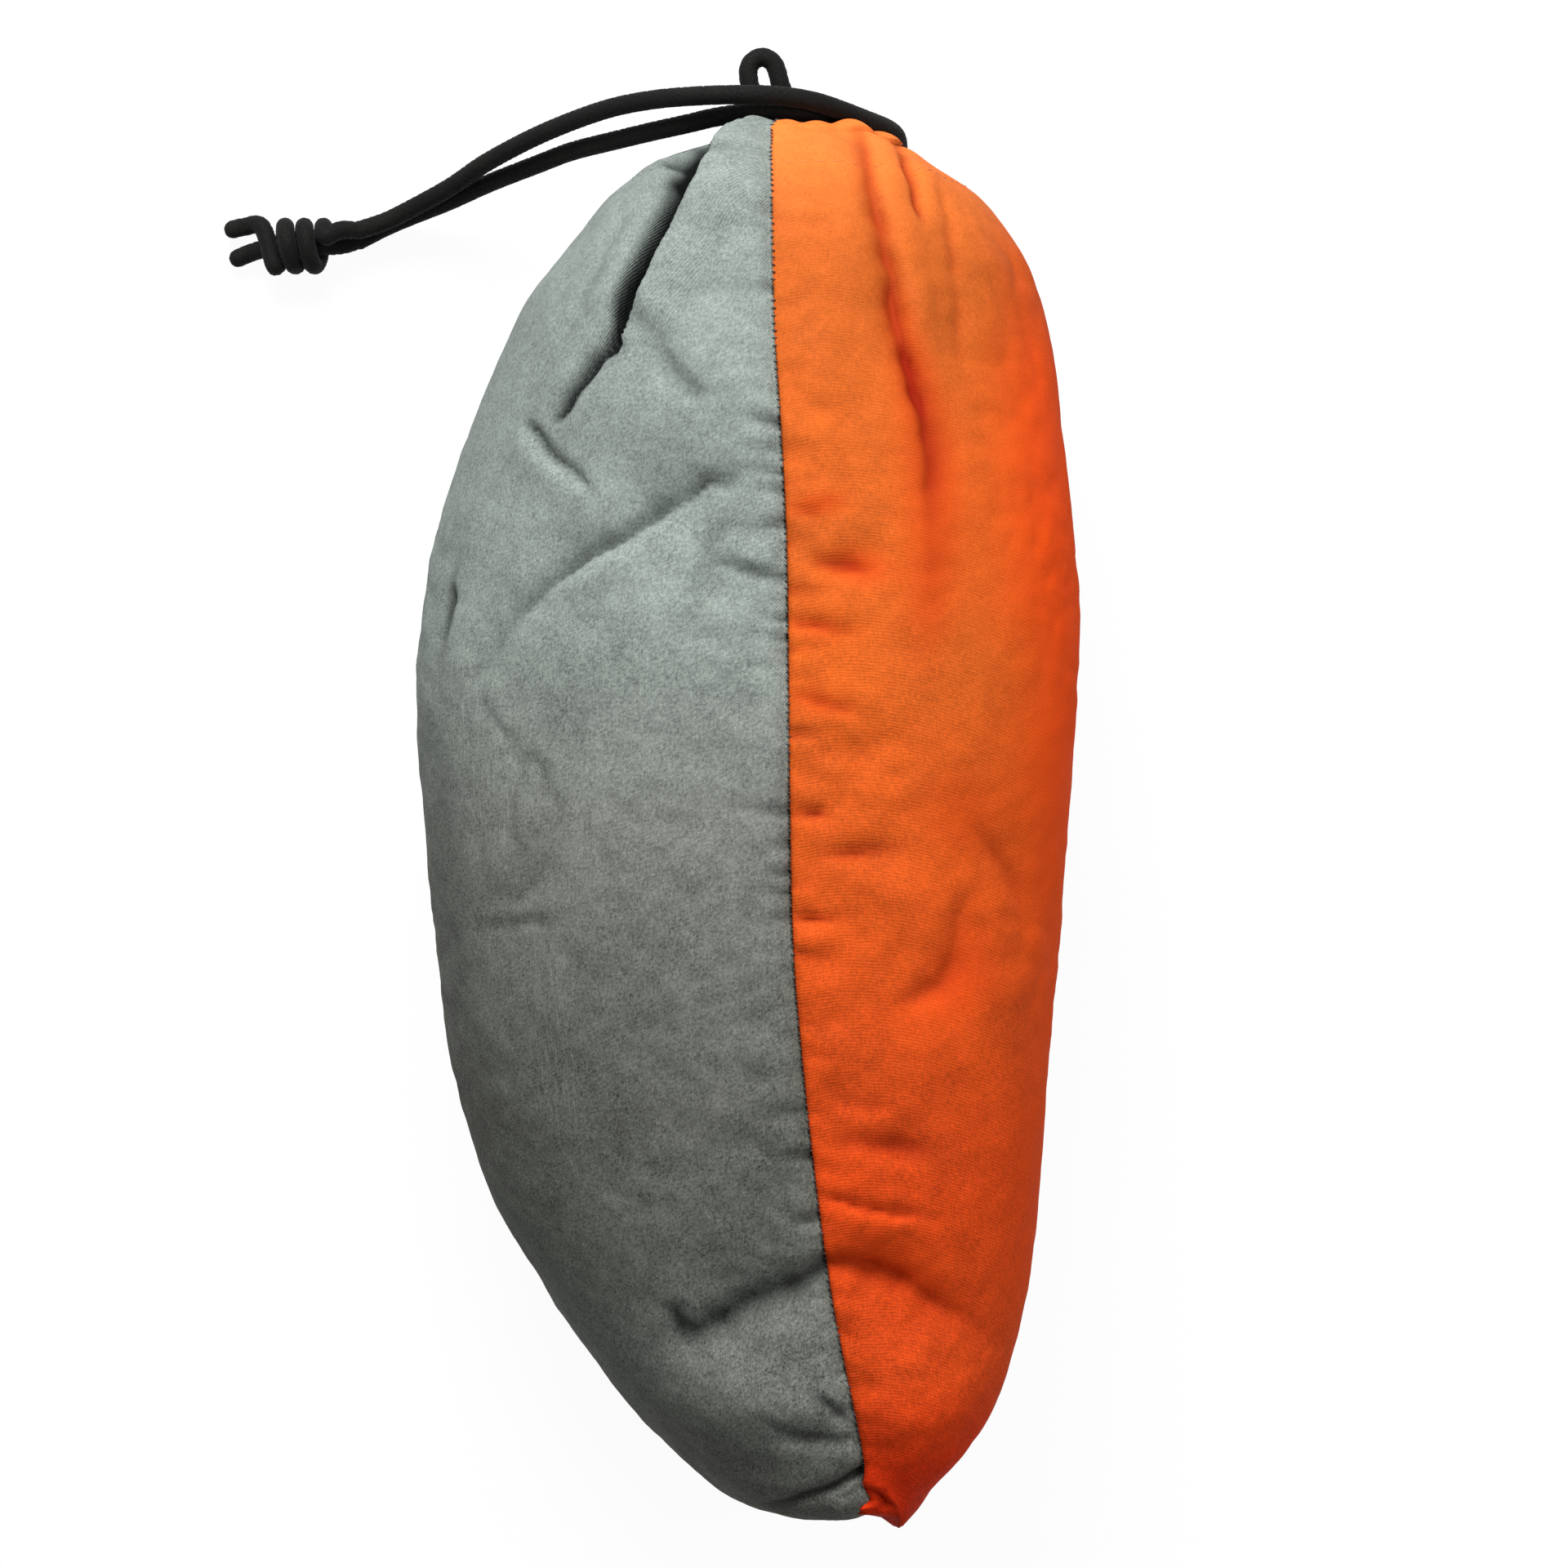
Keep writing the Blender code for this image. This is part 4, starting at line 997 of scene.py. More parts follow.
ORANGE_SWELLS = (
    (17.0, 92.0, 5.0, 16.0, 0.8),
    (18.7, 35.0, 6.0, 4.0, -0.8),
    (19.0, 5.0, 8.0, 4.0, -0.6),
    (24.0, -12.6, 6.0, 3.5, -0.7),
    (33.0, 6.0, 9.0, 14.0, 0.9),
    (30.0, -20.0, 7.0, 7.0, 0.7),
    (27.0, -84.0, 13.0, 9.0, -1.3),
    (27.0, -104.0, 11.0, 9.0, 2.2),
)
ORANGE_PUCKERS = (
    (47.6, 5.0, 0.5, 0.8, 0.1),
    (38.0, 4.0, 0.5, 0.8, 0.2),
    (30.7, 6.0, 0.7, 0.9, -0.1),
    (20.8, 5.0, 0.6, 0.8, 0.1),
    (7.1, 6.0, 0.6, 0.9, 0.1),
    (-17.0, 5.0, 0.5, 0.8, 0.1),
    (-28.0, 5.0, 0.5, 0.8, -0.1),
    (-44.0, 5.0, 0.4, 0.9, -0.1),
)
orange_grid, orange_across, orange_along, orange_shade = folded_cloth(
    ORANGE, ORANGE_FOLDS, (), ORANGE_SWELLS, ORANGE_PUCKERS,
    seam_dip=0.3, seam_lap=0.5, hollow_shade=0.22, seed=8.0)
# Past the folded corner, in mm along the cloth, its front edge is sewn to the grey panel's
SEWN_FROM = 9
sewn = np.clip(orange_along[:CLOTH_ROWS, :1] / MM / SEWN_FROM - 1, 0, 1)
orange_grid[:CLOTH_ROWS, 0] += sewn * (grey_grid[:CLOTH_ROWS, 0] - orange_grid[:CLOTH_ROWS, 0])
# Colours along the length that paint in the light: brightest and yellowest at the lit mouth, deeper and
# redder toward the bottom, which turns from the lamp
ORANGE_COLOURS = (
    (0.00, rgba(218, 48, 9)),
    (0.05, rgba(221, 55, 13)),
    (0.12, rgba(231, 80, 26)),
    (0.25, rgba(228, 77, 24)),
    (0.60, rgba(219, 98, 32)),
    (0.90, rgba(196, 95, 35)),
    (1.00, rgba(240, 126, 56)),
)
# The orange's second colour is a painted shade, a deeper red where the cloth turns from the light, and its
# third is the dark painted shade of its folds
orange_rib = woven(
    "orange_rib", ORANGE_COLOURS, rgba(248, 82, 18), rgba(146, 31, 5),
    diagonal=0.0, pitch=0.00050, ribbed=0.05, flecks=0.10, grain=0.08, grime=0.05, scuffed=False)
# Painted shade, a deeper red: down the sack's right, which turns from the light, then along the long fold and
# in other hollows
RED_SHADE_SIDE = (
    (44.0, 100.0, 5.0, 0.05),
    (49.5, 84.0, 6.5, 0.5),
    (51.5, 66.0, 9.5, 0.9),
    (53.0, 44.0, 11.0, 1.0),
    (54.0, 30.0, 11.0, 1.0),
    (55.0, 18.0, 9.0, 1.0),
    (55.0, 0.0, 10.0, 1.0),
    (53.0, -40.0, 7.0, 0.6),
    (48.0, -80.0, 6.0, 0.4),
)
RED_SHADE_HOLLOWS = (
    ((25.5, 78.0, 2.5, 0.3), (27.5, 68.0, 3.2, 0.7), (29.8, 58.0, 4.2, 0.9), (31.0, 47.0, 4.8, 1.0),
     (31.0, 36.0, 4.6, 0.9), (30.3, 27.0, 4.0, 0.7), (29.5, 20.0, 3.5, 0.2)),
    ((13.0, 35.0, 1.8, 0.2), (19.0, 34.2, 2.6, 1.0), (24.5, 33.0, 2.4, 0.2)),
    ((9.0, 43.6, 1.4, 0.5), (13.0, 44.2, 1.6, 0.9), (17.5, 44.8, 1.5, 0.1)),
    ((33.0, 3.0, 6.0, 0.1), (36.0, -6.0, 6.5, 0.6), (39.0, -15.0, 5.0, 0.1)),
    ((37.5, -22.0, 5.0, 0.3), (36.0, -32.0, 5.5, 0.9), (31.0, -37.0, 5.0, 0.5), (24.0, -38.0, 4.0, 0.1)),
    ((8.5, 13.6, 1.4, 0.4), (13.0, 12.4, 1.8, 0.6), (19.0, 10.6, 1.6, 0.1)),
    ((8.5, 24.9, 1.4, 0.5), (13.0, 24.4, 1.8, 0.6), (19.0, 23.8, 1.6, 0.1)),
    ((12.5, -77.5, 2.0, 0.7), (20.0, -76.5, 3.5, 0.8), (29.0, -80.0, 3.5, 0.6), (38.0, -87.0, 3.0, 0.2)),
)
HOLLOW_RED_SHADE = 0.5
HOLLOW_SHADE = 0.28
hollows = sum(wear_and_painted_shade(orange_grid, rows) for rows in RED_SHADE_HOLLOWS)
orange_red_shade = np.clip(wear_and_painted_shade(orange_grid, RED_SHADE_SIDE) + HOLLOW_RED_SHADE * hollows, 0, 1)
orange_shade = np.clip(orange_shade + HOLLOW_SHADE * hollows, 0, 1)
# x and z of the eyelets in mm, and where the shoulder that they are worked in begins
EYELETS = ((26.2, 17.8), (22.0, 15.0))
EYELET_RADIUS = 1.8
SHOULDER_Y = 0.094
shoulder = (orange_grid[..., 1] > SHOULDER_Y) & (np.arange(CLOTH_ROWS + LIP_ROWS) < CLOTH_ROWS)[:, None]
eyelet_offsets = [orange_grid[..., ::2] / MM - eyelet for eyelet in EYELETS]
punched = sum(np.linalg.norm(offset, axis=-1) < EYELET_RADIUS for offset in eyelet_offsets) > 0
orange_panel = cloth_object("orange_panel_cloth", orange_grid, orange_across, orange_along, ORANGE,
                            orange_red_shade, orange_shade, punched & shoulder)
orange_panel.data.materials.append(orange_rib)
thicken(orange_panel, CLOTH_THICKNESS)
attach(orange_panel, "sack")
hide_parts("orange_panel", "orange_casing")

# Seam allowances: the panels' raw edges, turned inside the sack and overlocked together in one strip along
# the front, one along the back and one across the bottom.

ALLOWANCE_WIDTH = 0.0080
ALLOWANCE_DEPTH = 0.0028
ALLOWANCE_THICKNESS = 0.0008
OVERLOCK_PITCH = 0.0026
OVERLOCK_WAVE = 0.00025
LONG_STRIP_ENDS = (0.055, 0.945)
BOTTOM_STRIP_DEPTH = 0.0022
BOTTOM_STRIP_WIDTH = 0.0052
PLAIN_WEAVE = dict(ribbed=0.10, flecks=0.16, grain=0.10, grime=0.06, scuffed=False)
OVERLOCK_COLOURS = ((0, rgba(100, 102, 97)), (1, rgba(112, 116, 113)))
overlocked = woven("overlocked_edge", OVERLOCK_COLOURS, rgba(150, 152, 148), rgba(60, 62, 60),
                   diagonal=1.6, pitch=0.0009, **PLAIN_WEAVE)


def strip_object(name, rows):
    """A strip of cloth over a grid of points, with its thickness."""
    strip = cloth_object(name, rows, run_length(rows, 1), run_length(rows, 0), GREY)
    strip.data.materials.append(overlocked)
    thicken(strip, ALLOWANCE_THICKNESS)
    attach(strip, "sack")
    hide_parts(name.removesuffix("_strip"))


def dents(grid):
    """How far the folds and hollows in the cloth press in what lies under it, as moves in metres."""
    facing = outward(grid, GREY)
    moves = [crease(grid, facing, rows, **options)[0] for rows, options in GREY_FOLDS + ORANGE_FOLDS]
    moves += [tuck(grid, facing, rows)[0] for rows in GREY_TUCKS]
    push = sum(np.minimum((move * facing).sum(-1), 0) for move in moves)
    push += sum(np.minimum(swell(grid, facing, *row), 0) for row in GREY_SWELLS + ORANGE_SWELLS)
    return facing * push[..., None] * MM


def overlock(run):
    """The wave of the overlocked edge along its run."""
    return OVERLOCK_WAVE * np.sin(2 * math.pi * run / OVERLOCK_PITCH)


def long_strip(name, seam_angle):
    """The strip behind the seam that lies at an angle round the sack."""
    share = np.linspace(*LONG_STRIP_ENDS, 420)
    width = ALLOWANCE_WIDTH / 2 + overlock(share * SACK_LENGTH)
    spread = (width / np.sqrt(along(SECTIONS, share)[:, 1]))[:, None]
    angle = seam_angle + spread * np.linspace(-1, 1, 7)
    strip = skin(share, angle, ALLOWANCE_DEPTH)
    strip_object(name, strip + dents(strip))


def bottom_strip(name):
    """The strip behind the bottom seam, set back with its corner."""
    middle, _, offset, low, high = along(SECTIONS, 0.0)[0]
    tall = (high - low) / 2
    heights = np.linspace(-1, 1, 120)[:, None] * (tall - ALLOWANCE_WIDTH)
    z = (high + low) / 2 + heights
    near_edge = BOTTOM_STRIP_DEPTH + CORNER_SET_BACK * MM * corner_rise(z)
    depth = near_edge + np.linspace(0, 1, 6) * (BOTTOM_STRIP_WIDTH + overlock(heights))
    x = middle + ALLOWANCE_THICKNESS / 2 + offset * heights / tall
    strip_object(name, np.stack(np.broadcast_arrays(x, BOTTOM_Y + depth, z), -1))


long_strip("front_seam_allowance_strip", math.pi / 2)
long_strip("back_seam_allowance_strip", 1.5 * math.pi)
bottom_strip("bottom_seam_allowance_strip")

# Packed contents: a soft bundle of clothing pushed down into the sack until it is round and full.
# It takes the dents of the folds in the cloth over it.

BUNDLE_INSET = 0.0044
BUNDLE_ENDS = (0.062, 0.952)
BUNDLE_ROUNDING = 0.012
# Its lumps: how far they sink and swing in mm, and their size
LUMP_SINK = 1.6
LUMP_HEIGHT = 0.9
LUMP_SIZE = (13, 13)
bundle_share = np.linspace(*BUNDLE_ENDS, 150)
bundle_angle = np.linspace(0, 2 * math.pi, 121)
bundle_grid = skin(bundle_share, bundle_angle, BUNDLE_INSET)
bundle_lumps = LUMP_HEIGHT * ripple(bundle_grid, LUMP_SIZE, 31.0) - LUMP_SINK
bundle_skin = bundle_grid + dents(bundle_grid) + outward(bundle_grid, GREY) * bundle_lumps[..., None] * MM
to_end = np.minimum(bundle_share - BUNDLE_ENDS[0], BUNDLE_ENDS[1] - bundle_share) * SACK_LENGTH
dome = np.sqrt(1 - (1 - np.clip(to_end / BUNDLE_ROUNDING + 0.03, 0, 1)) ** 2)
bundle_core = bundle_grid.mean(axis=1, keepdims=True)
bundle_grid = bundle_core + (bundle_skin - bundle_core) * dome[:, None, None]
bundle_grid[..., 2] = np.maximum(bundle_grid[..., 2], BUNDLE_INSET / 2)
bundle_grid[:, -1] = bundle_grid[:, 0]
bundle = cloth_object("packed_contents_bundle", bundle_grid,
                      run_length(bundle_grid, 1), run_length(bundle_grid, 0), GREY)
weld = bundle.modifiers.new("weld", "WELD")
weld.merge_threshold = 1e-6
settle(bundle)
BUNDLE_COLOURS = ((0, rgba(132, 112, 96)), (1, rgba(150, 128, 108)))
bundle.data.materials.append(woven("bundle_cloth", BUNDLE_COLOURS, rgba(170, 150, 130), rgba(70, 60, 50),
                                   diagonal=0.5, pitch=0.0008, **PLAIN_WEAVE))
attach(bundle, "sack")
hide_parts("packed_contents")

# Stitches: the thread of the front, back and bottom seams where it grins between the panels, the row that
# closes the casing round the neck, and the close whipping round the two eyelets.

THREAD = 0.00028
SEAM_PITCH = 0.0013
SEAM_BITE = 0.0009
CASING_PITCH = 0.0026
CASING_BITE = 0.0017
EYELET_PITCH = 0.0006
EYELET_BITE = 0.0011


def stitch_tree():
    """Stitches set along an edge line at a pitch: each one an oval of thread, lying on the line's own up."""
    tree = bpy.data.node_groups.new("stitches", "GeometryNodeTree")
    socket = tree.interface.new_socket
    socket("Line", in_out="INPUT", socket_type="NodeSocketGeometry")
    for name in ("Pitch", "Across", "Along", "Thread"):
        socket(name, in_out="INPUT", socket_type="NodeSocketFloat")
    socket("Yarn", in_out="INPUT", socket_type="NodeSocketMaterial")
    socket("Stitches", in_out="OUTPUT", socket_type="NodeSocketGeometry")
    given = tree.nodes.new("NodeGroupInput").outputs
    curve = tree.nodes.new("GeometryNodeMeshToCurve")
    spaced = tree.nodes.new("GeometryNodeResampleCurve")
    spaced.mode = "LENGTH"
    oval = tree.nodes.new("GeometryNodeMeshUVSphere")
    oval.inputs["Segments"].default_value = 6
    oval.inputs["Rings"].default_value = 5
    oval.inputs["Radius"].default_value = 0.5
    up = tree.nodes.new("GeometryNodeInputNamedAttribute")
    up.data_type = "FLOAT_VECTOR"
    up.inputs["Name"].default_value = "up"
    stand = tree.nodes.new("FunctionNodeAlignRotationToVector")
    stand.axis = "Z"
    turn = tree.nodes.new("FunctionNodeAlignRotationToVector")
    turn.axis = "Y"
    turn.pivot_axis = "Z"
    tangent = tree.nodes.new("GeometryNodeInputTangent")
    size = tree.nodes.new("ShaderNodeCombineXYZ")
    placed = tree.nodes.new("GeometryNodeInstanceOnPoints")
    real = tree.nodes.new("GeometryNodeRealizeInstances")
    smooth = tree.nodes.new("GeometryNodeSetShadeSmooth")
    yarn = tree.nodes.new("GeometryNodeSetMaterial")
    made = tree.nodes.new("NodeGroupOutput").inputs
    for source, target in (
        (given["Line"], curve.inputs["Mesh"]),
        (curve.outputs["Curve"], spaced.inputs["Curve"]),
        (given["Pitch"], spaced.inputs["Length"]),
        (spaced.outputs["Curve"], placed.inputs["Points"]),
        (oval.outputs["Mesh"], placed.inputs["Instance"]),
        (up.outputs["Attribute"], stand.inputs["Vector"]),
        (stand.outputs["Rotation"], turn.inputs["Rotation"]),
        (tangent.outputs["Tangent"], turn.inputs["Vector"]),
        (turn.outputs["Rotation"], placed.inputs["Rotation"]),
        (given["Across"], size.inputs["X"]),
        (given["Along"], size.inputs["Y"]),
        (given["Thread"], size.inputs["Z"]),
        (size.outputs["Vector"], placed.inputs["Scale"]),
        (placed.outputs["Instances"], real.inputs["Geometry"]),
        (real.outputs["Geometry"], smooth.inputs["Geometry"]),
        (smooth.outputs["Geometry"], yarn.inputs["Geometry"]),
        (given["Yarn"], yarn.inputs["Material"]),
        (yarn.outputs["Geometry"], made["Stitches"]),
    ):
        tree.links.new(source, target)
    return tree


STITCHES = stitch_tree()


def stitched(name, lines, slot, **sizes):
    """Stitches along lines of points, each line with its ups."""
    mesh = bpy.data.meshes.new(name)
    counts = [len(points) for points, _ in lines]
    starts = np.concatenate([[0], np.cumsum(counts)[:-1]])
    edges = [(i, i + 1) for start, count in zip(starts, counts, strict=True)
             for i in range(start, start + count - 1)]
    mesh.from_pydata(np.concatenate([points for points, _ in lines]).tolist(), edges, [])
    ups = np.concatenate([up for _, up in lines])
    mesh.attributes.new("up", "FLOAT_VECTOR", "POINT").data.foreach_set("vector", ups.ravel())
    obj = bpy.data.objects.new(name, mesh)
    scene.collection.objects.link(obj)
    sewing = obj.modifiers.new("stitches", "NODES")
    sewing.node_group = STITCHES
    for item in STITCHES.interface.items_tree:
        if item.in_out == "INPUT" and item.name in sizes:
            sewing[item.identifier] = sizes[item.name]
    settle(obj)
    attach(obj, "sack")
    return obj


def twisted_thread(name, pale, dark):
    """Spun polyester sewing thread."""
    material, tree, shader = blank_material(name)
    ply = cloudy(tree, spot(tree), 5200.0, 1.0)
    tree.links.new(blend_colour(tree, ply, dark, pale), shader.inputs["Base Color"])
    tree.links.new(ranged(tree, ply, *NOISE_RANGE, 0.45, 0.7), shader.inputs["Roughness"])
    return material


grey_facing = outward(grey_grid, GREY)
orange_facing = outward(orange_grid, ORANGE)
FIRST_STITCH_ROW = 4
CREST_ROW = CLOTH_ROWS + int(np.argmax([rise for _, rise in LIP]))
STITCH_RISE = 0.0002


def between(column):
    """The line where the panels meet, and its ups."""
    sewn_rows = slice(FIRST_STITCH_ROW, CREST_ROW)
    line = (grey_grid[sewn_rows, column] + orange_grid[sewn_rows, column]) / 2
    up = grey_facing[sewn_rows, column] + orange_facing[sewn_rows, column]
    up /= np.linalg.norm(up, axis=1, keepdims=True)
    return line + STITCH_RISE * up, up


bottom_line = (grey_grid[0] + orange_grid[0]) / 2
bottom_up = np.tile((0.0, -1.0, 0.0), (CLOTH_COLUMNS, 1))
seam_thread = twisted_thread("seam_thread", rgba(74, 70, 64), rgba(38, 36, 34))
stitched("seam_stitches", [between(0), between(-1), (bottom_line, bottom_up)], "seam_cloth",
         Pitch=SEAM_PITCH, Across=SEAM_BITE, Along=THREAD, Thread=THREAD, Yarn=seam_thread)
CASING_SEAM_Y = 0.1012
CASING_ROW = int(np.argmin(np.abs(grey_grid[:CLOTH_ROWS, 0, 1] - CASING_SEAM_Y)))
grey_thread = twisted_thread("grey_thread", rgba(152, 158, 154), rgba(128, 133, 129))
orange_thread = twisted_thread("orange_thread", rgba(240, 130, 60), rgba(222, 106, 44))


FOLD_HIDES = 0.15
SHORTEST_RUN = 6


def open_runs(line, up, shade):
    """The stretches of a row of stitches that no fold hides, each with its ups."""
    shown = np.flatnonzero(shade < FOLD_HIDES)
    runs = np.split(shown, np.flatnonzero(np.diff(shown) > 1) + 1)
    return [(line[run[1:-1]], up[run[1:-1]]) for run in runs if len(run) >= SHORTEST_RUN]


for name, grid, facing, shade, thread, slot in (
    ("grey_casing_stitches", grey_grid, grey_facing, grey_shade, grey_thread, "grey_cloth"),
    ("orange_casing_stitches", orange_grid, orange_facing, orange_shade, orange_thread, "orange_cloth"),
):
    stitched(name, open_runs(grid[CASING_ROW], facing[CASING_ROW], shade[CASING_ROW]), slot,
             Pitch=CASING_PITCH, Across=THREAD, Along=CASING_BITE, Thread=THREAD, Yarn=thread)


EYELET_RIM = 0.25
EYELET_THREAD = 1.6 * THREAD


def eyelet_rim(eyelet):
    """A ring on the cloth round an eyelet's hole, and its ups."""
    cloth = orange_grid[shoulder] / MM
    offset = cloth[:, ::2] - eyelet
    near = np.linalg.norm(offset, axis=1) < 2.2 * EYELET_RADIUS
    plane = np.linalg.lstsq(np.c_[offset[near], np.ones(near.sum())], cloth[near, 1], rcond=None)
    across, rise, level = plane[0]
    turn = np.linspace(0, 2 * math.pi, 33)
    ring = (EYELET_RADIUS + EYELET_RIM) * np.stack([np.cos(turn), np.sin(turn)], -1)
    points = np.stack([eyelet[0] + ring[:, 0], level + ring @ (across, rise), eyelet[1] + ring[:, 1]], -1)
    up = np.array([-across, 1, -rise]) / math.hypot(across, 1, rise)
    return points * MM, np.tile(up, (len(turn), 1))


stitched("eyelet_stitches", [eyelet_rim(eyelet) for eyelet in EYELETS], "orange_cloth",
         Pitch=EYELET_PITCH, Across=EYELET_BITE, Along=EYELET_THREAD, Thread=EYELET_THREAD,
         Yarn=orange_thread)

# Drawcord: one length of round black braid that runs inside the casing round the neck and leaves it through
# the eyelets. Its two strands go round the mouth and off to the left, where one barrel knot joins their ends.

CORD_DIAMETER = 0.0033
BRAID_YARNS = 8
BRAID_LAY = 0.0105
BRAID_RELIEF = 0.09
BRAID_SIDES = 32
BRAID_STEP = 0.0003


def evenly(points, step):
    """Points the same distance apart along a path."""
    places = np.array(points, float)
    run = np.concatenate([[0], np.cumsum(np.linalg.norm(np.diff(places, axis=0), axis=1))])
    marks = np.linspace(0, run[-1], max(2, round(run[-1] / step) + 1))
    return np.stack([np.interp(marks, run, places[:, i]) for i in range(3)], -1), marks


def frames(path):
    """Two directions across the path at each point, carried along it without twist from any first one."""
    run = np.gradient(path, axis=0)
    run /= np.linalg.norm(run, axis=1, keepdims=True)
    side = np.cross(run[0], (0.3, 0.2, 0.93))
    sides = []
    for direction in run:
        side = side - direction * side.dot(direction)
        side = side / np.linalg.norm(side)
        sides.append(side)
    return np.array(sides), np.cross(run, sides)


def braid(name, points):
    """A round braid of yarns that cross over and under, along the points, with rounded ends."""
    path, marks = evenly(points, BRAID_STEP)
    first, second = frames(path)
    turn = np.linspace(0, 2 * math.pi, BRAID_SIDES, endpoint=False)
    lay = 2 * math.pi * marks[:, None] / BRAID_LAY
    one_way = BRAID_YARNS * (turn + lay) / (2 * math.pi)
    other_way = BRAID_YARNS * (turn - lay) / (2 * math.pi)
    over = (np.floor(one_way) + np.floor(other_way)) % 2 == 0
    crown = np.sin(math.pi * np.where(over, one_way % 1, other_way % 1))
    to_end = np.minimum(marks, marks[-1] - marks) / (CORD_DIAMETER / 2)
    close = np.sqrt(1 - (1 - np.clip(to_end + 0.1, 0, 1)) ** 2)
    radius = CORD_DIAMETER / 2 * (1 - BRAID_RELIEF * (1 - crown)) * close[:, None]
    rings = path[:, None] + radius[..., None] * (
        np.cos(turn)[:, None] * first[:, None] + np.sin(turn)[:, None] * second[:, None])
    index = np.arange(len(path) * BRAID_SIDES).reshape(len(path), BRAID_SIDES)
    next_side = np.roll(index, -1, axis=1)
    walls = np.stack([index[:-1], next_side[:-1], next_side[1:], index[1:]], -1).reshape(-1, 4)
    caps = [index[0, ::-1].tolist(), index[-1].tolist()]
    mesh = bpy.data.meshes.new(name)
    mesh.from_pydata(rings.reshape(-1, 3).tolist(), [], walls.tolist() + caps)
    mesh.shade_smooth()
    obj = bpy.data.objects.new(name, mesh)
    scene.collection.objects.link(obj)
    return obj, path


def braided_yarn(name):
    """Matt black polyester yarn with a faint shine on the crown of each crossing."""
    material, tree, shader = blank_material(name)
    place = spot(tree)
    fibre = cloudy(tree, place, 2600.0)
    dust = ranged(tree, cloudy(tree, place, 160.0, 3.0), 0.45, 0.75, 0, 0.35)
    black = blend_colour(tree, fibre, rgba(6, 6, 6), rgba(17, 17, 16))
    tree.links.new(blend_colour(tree, dust, black, rgba(32, 32, 29)), shader.inputs["Base Color"])
    tree.links.new(ranged(tree, fibre, *NOISE_RANGE, 0.65, 0.9), shader.inputs["Roughness"])
    shader.inputs["Specular IOR Level"].default_value = 0.12
    shader.inputs["Sheen Weight"].default_value = 0.03
    raised(tree, shader, fibre, 0.4, 0.0001)
    return material


black_braid = braided_yarn("black_braid")
# The strands in mm, from their ends inside the sack, out of the eyelets and round the mouth to the knot
UPPER_ROUTE = (
    (26.2, 84.7, 17.8),
    (26.2, 95.0, 17.8),
    (26.2, 103.0, 17.8),
    (26.4, 107.2, 17.5),
    (27.0, 110.8, 20.8),
    (25.7, 112.4, 28.0),
    (20.4, 113.1, 37.0),
    (12.5, 114.5, 44.6),
    (5.6, 115.2, 46.8),
    (-1.3, 115.4, 46.6),
    (-8.3, 115.5, 44.8),
    (-15.3, 115.5, 41.5),
    (-22.4, 115.0, 37.0),
    (-29.8, 113.7, 31.0),
    (-37.5, 111.7, 24.5),
    (-45.8, 108.7, 17.5),
    (-52.6, 105.3, 12.0),
    (-60.4, 101.9, 7.8),
    (-65.0, 100.0, 6.3),
    (-71.0, 98.2, 5.7),
)
LOWER_ROUTE = (
    (22.0, 84.7, 15.0),
    (22.0, 95.0, 15.0),
    (22.0, 103.0, 15.0),
    (22.0, 107.8, 14.6),
    (22.5, 111.8, 17.6),
    (21.6, 113.3, 24.8),
    (17.0, 113.2, 35.0),
    (10.4, 113.3, 41.6),
    (2.8, 113.2, 43.0),
    (-4.2, 112.6, 41.6),
    (-9.5, 111.8, 39.4),
    (-15.5, 111.1, 36.0),
    (-22.7, 110.3, 31.0),
    (-30.1, 109.5, 25.2),
    (-36.1, 108.2, 20.2),
    (-45.3, 106.0, 13.0),
    (-53.0, 103.6, 7.6),
    (-60.7, 101.3, 3.7),
    (-65.3, 99.6, 2.2),
    (-71.0, 96.7, 1.9),
)


def cord_route(rows):
    """Points on the smooth run of a cord through rows in mm."""
    return smooth_path(rows, 12) * MM


def join(pieces):
    """Makes one object of several, under the first one's name."""
    with bpy.context.temp_override(active_object=pieces[0], selected_editable_objects=pieces):
        bpy.ops.object.join()


upper_strand, upper_path = braid("drawcord_upper_strand_braid", cord_route(UPPER_ROUTE))
lower_strand, lower_path = braid("drawcord_lower_strand_braid", cord_route(LOWER_ROUTE))

# The upper strand is wrapped round the lower one and drawn down into a barrel, and both ends stick out past
# it. The wrap starts at a place on the barrel's axis, a part of a turn past its top.
KNOT_CORE = (
    (-69.6, 97.5, 1.95),
    (-73.0, 96.3, 3.3),
    (-77.0, 95.9, 5.0),
    (-82.0, 95.9, 5.1),
    (-86.0, 95.7, 4.2),
    (-89.5, 95.0, 2.4),
    (-93.0, 93.6, 1.9),
)
KNOT_ENTRY = (
    (-69.6, 98.6, 5.7),
    (-72.5, 98.4, 7.6),
)
KNOT_START = (-75.2, 95.9, 5.1)
KNOT_PHASE = 0.35
KNOT_TURNS = 2.75
KNOT_PITCH = 3.45
KNOT_WRAP = 3.45
KNOT_TAIL = (
    (-87.0, 99.4, 4.4),
    (-90.5, 99.8, 2.2),
    (-94.0, 99.0, 1.9),
)
wrap_turns = np.linspace(0, 2 * math.pi * KNOT_TURNS, 34)
knot_wrap = np.stack([-KNOT_PITCH * wrap_turns / (2 * math.pi), KNOT_WRAP * np.sin(wrap_turns + KNOT_PHASE),
                      KNOT_WRAP * np.cos(wrap_turns + KNOT_PHASE)], -1) + KNOT_START
knot_core, _ = braid("knot_core", cord_route(KNOT_CORE))
end_knot, _ = braid("drawcord_end_knot_braid", cord_route([*KNOT_ENTRY, *knot_wrap, *KNOT_TAIL]))
join([end_knot, knot_core])

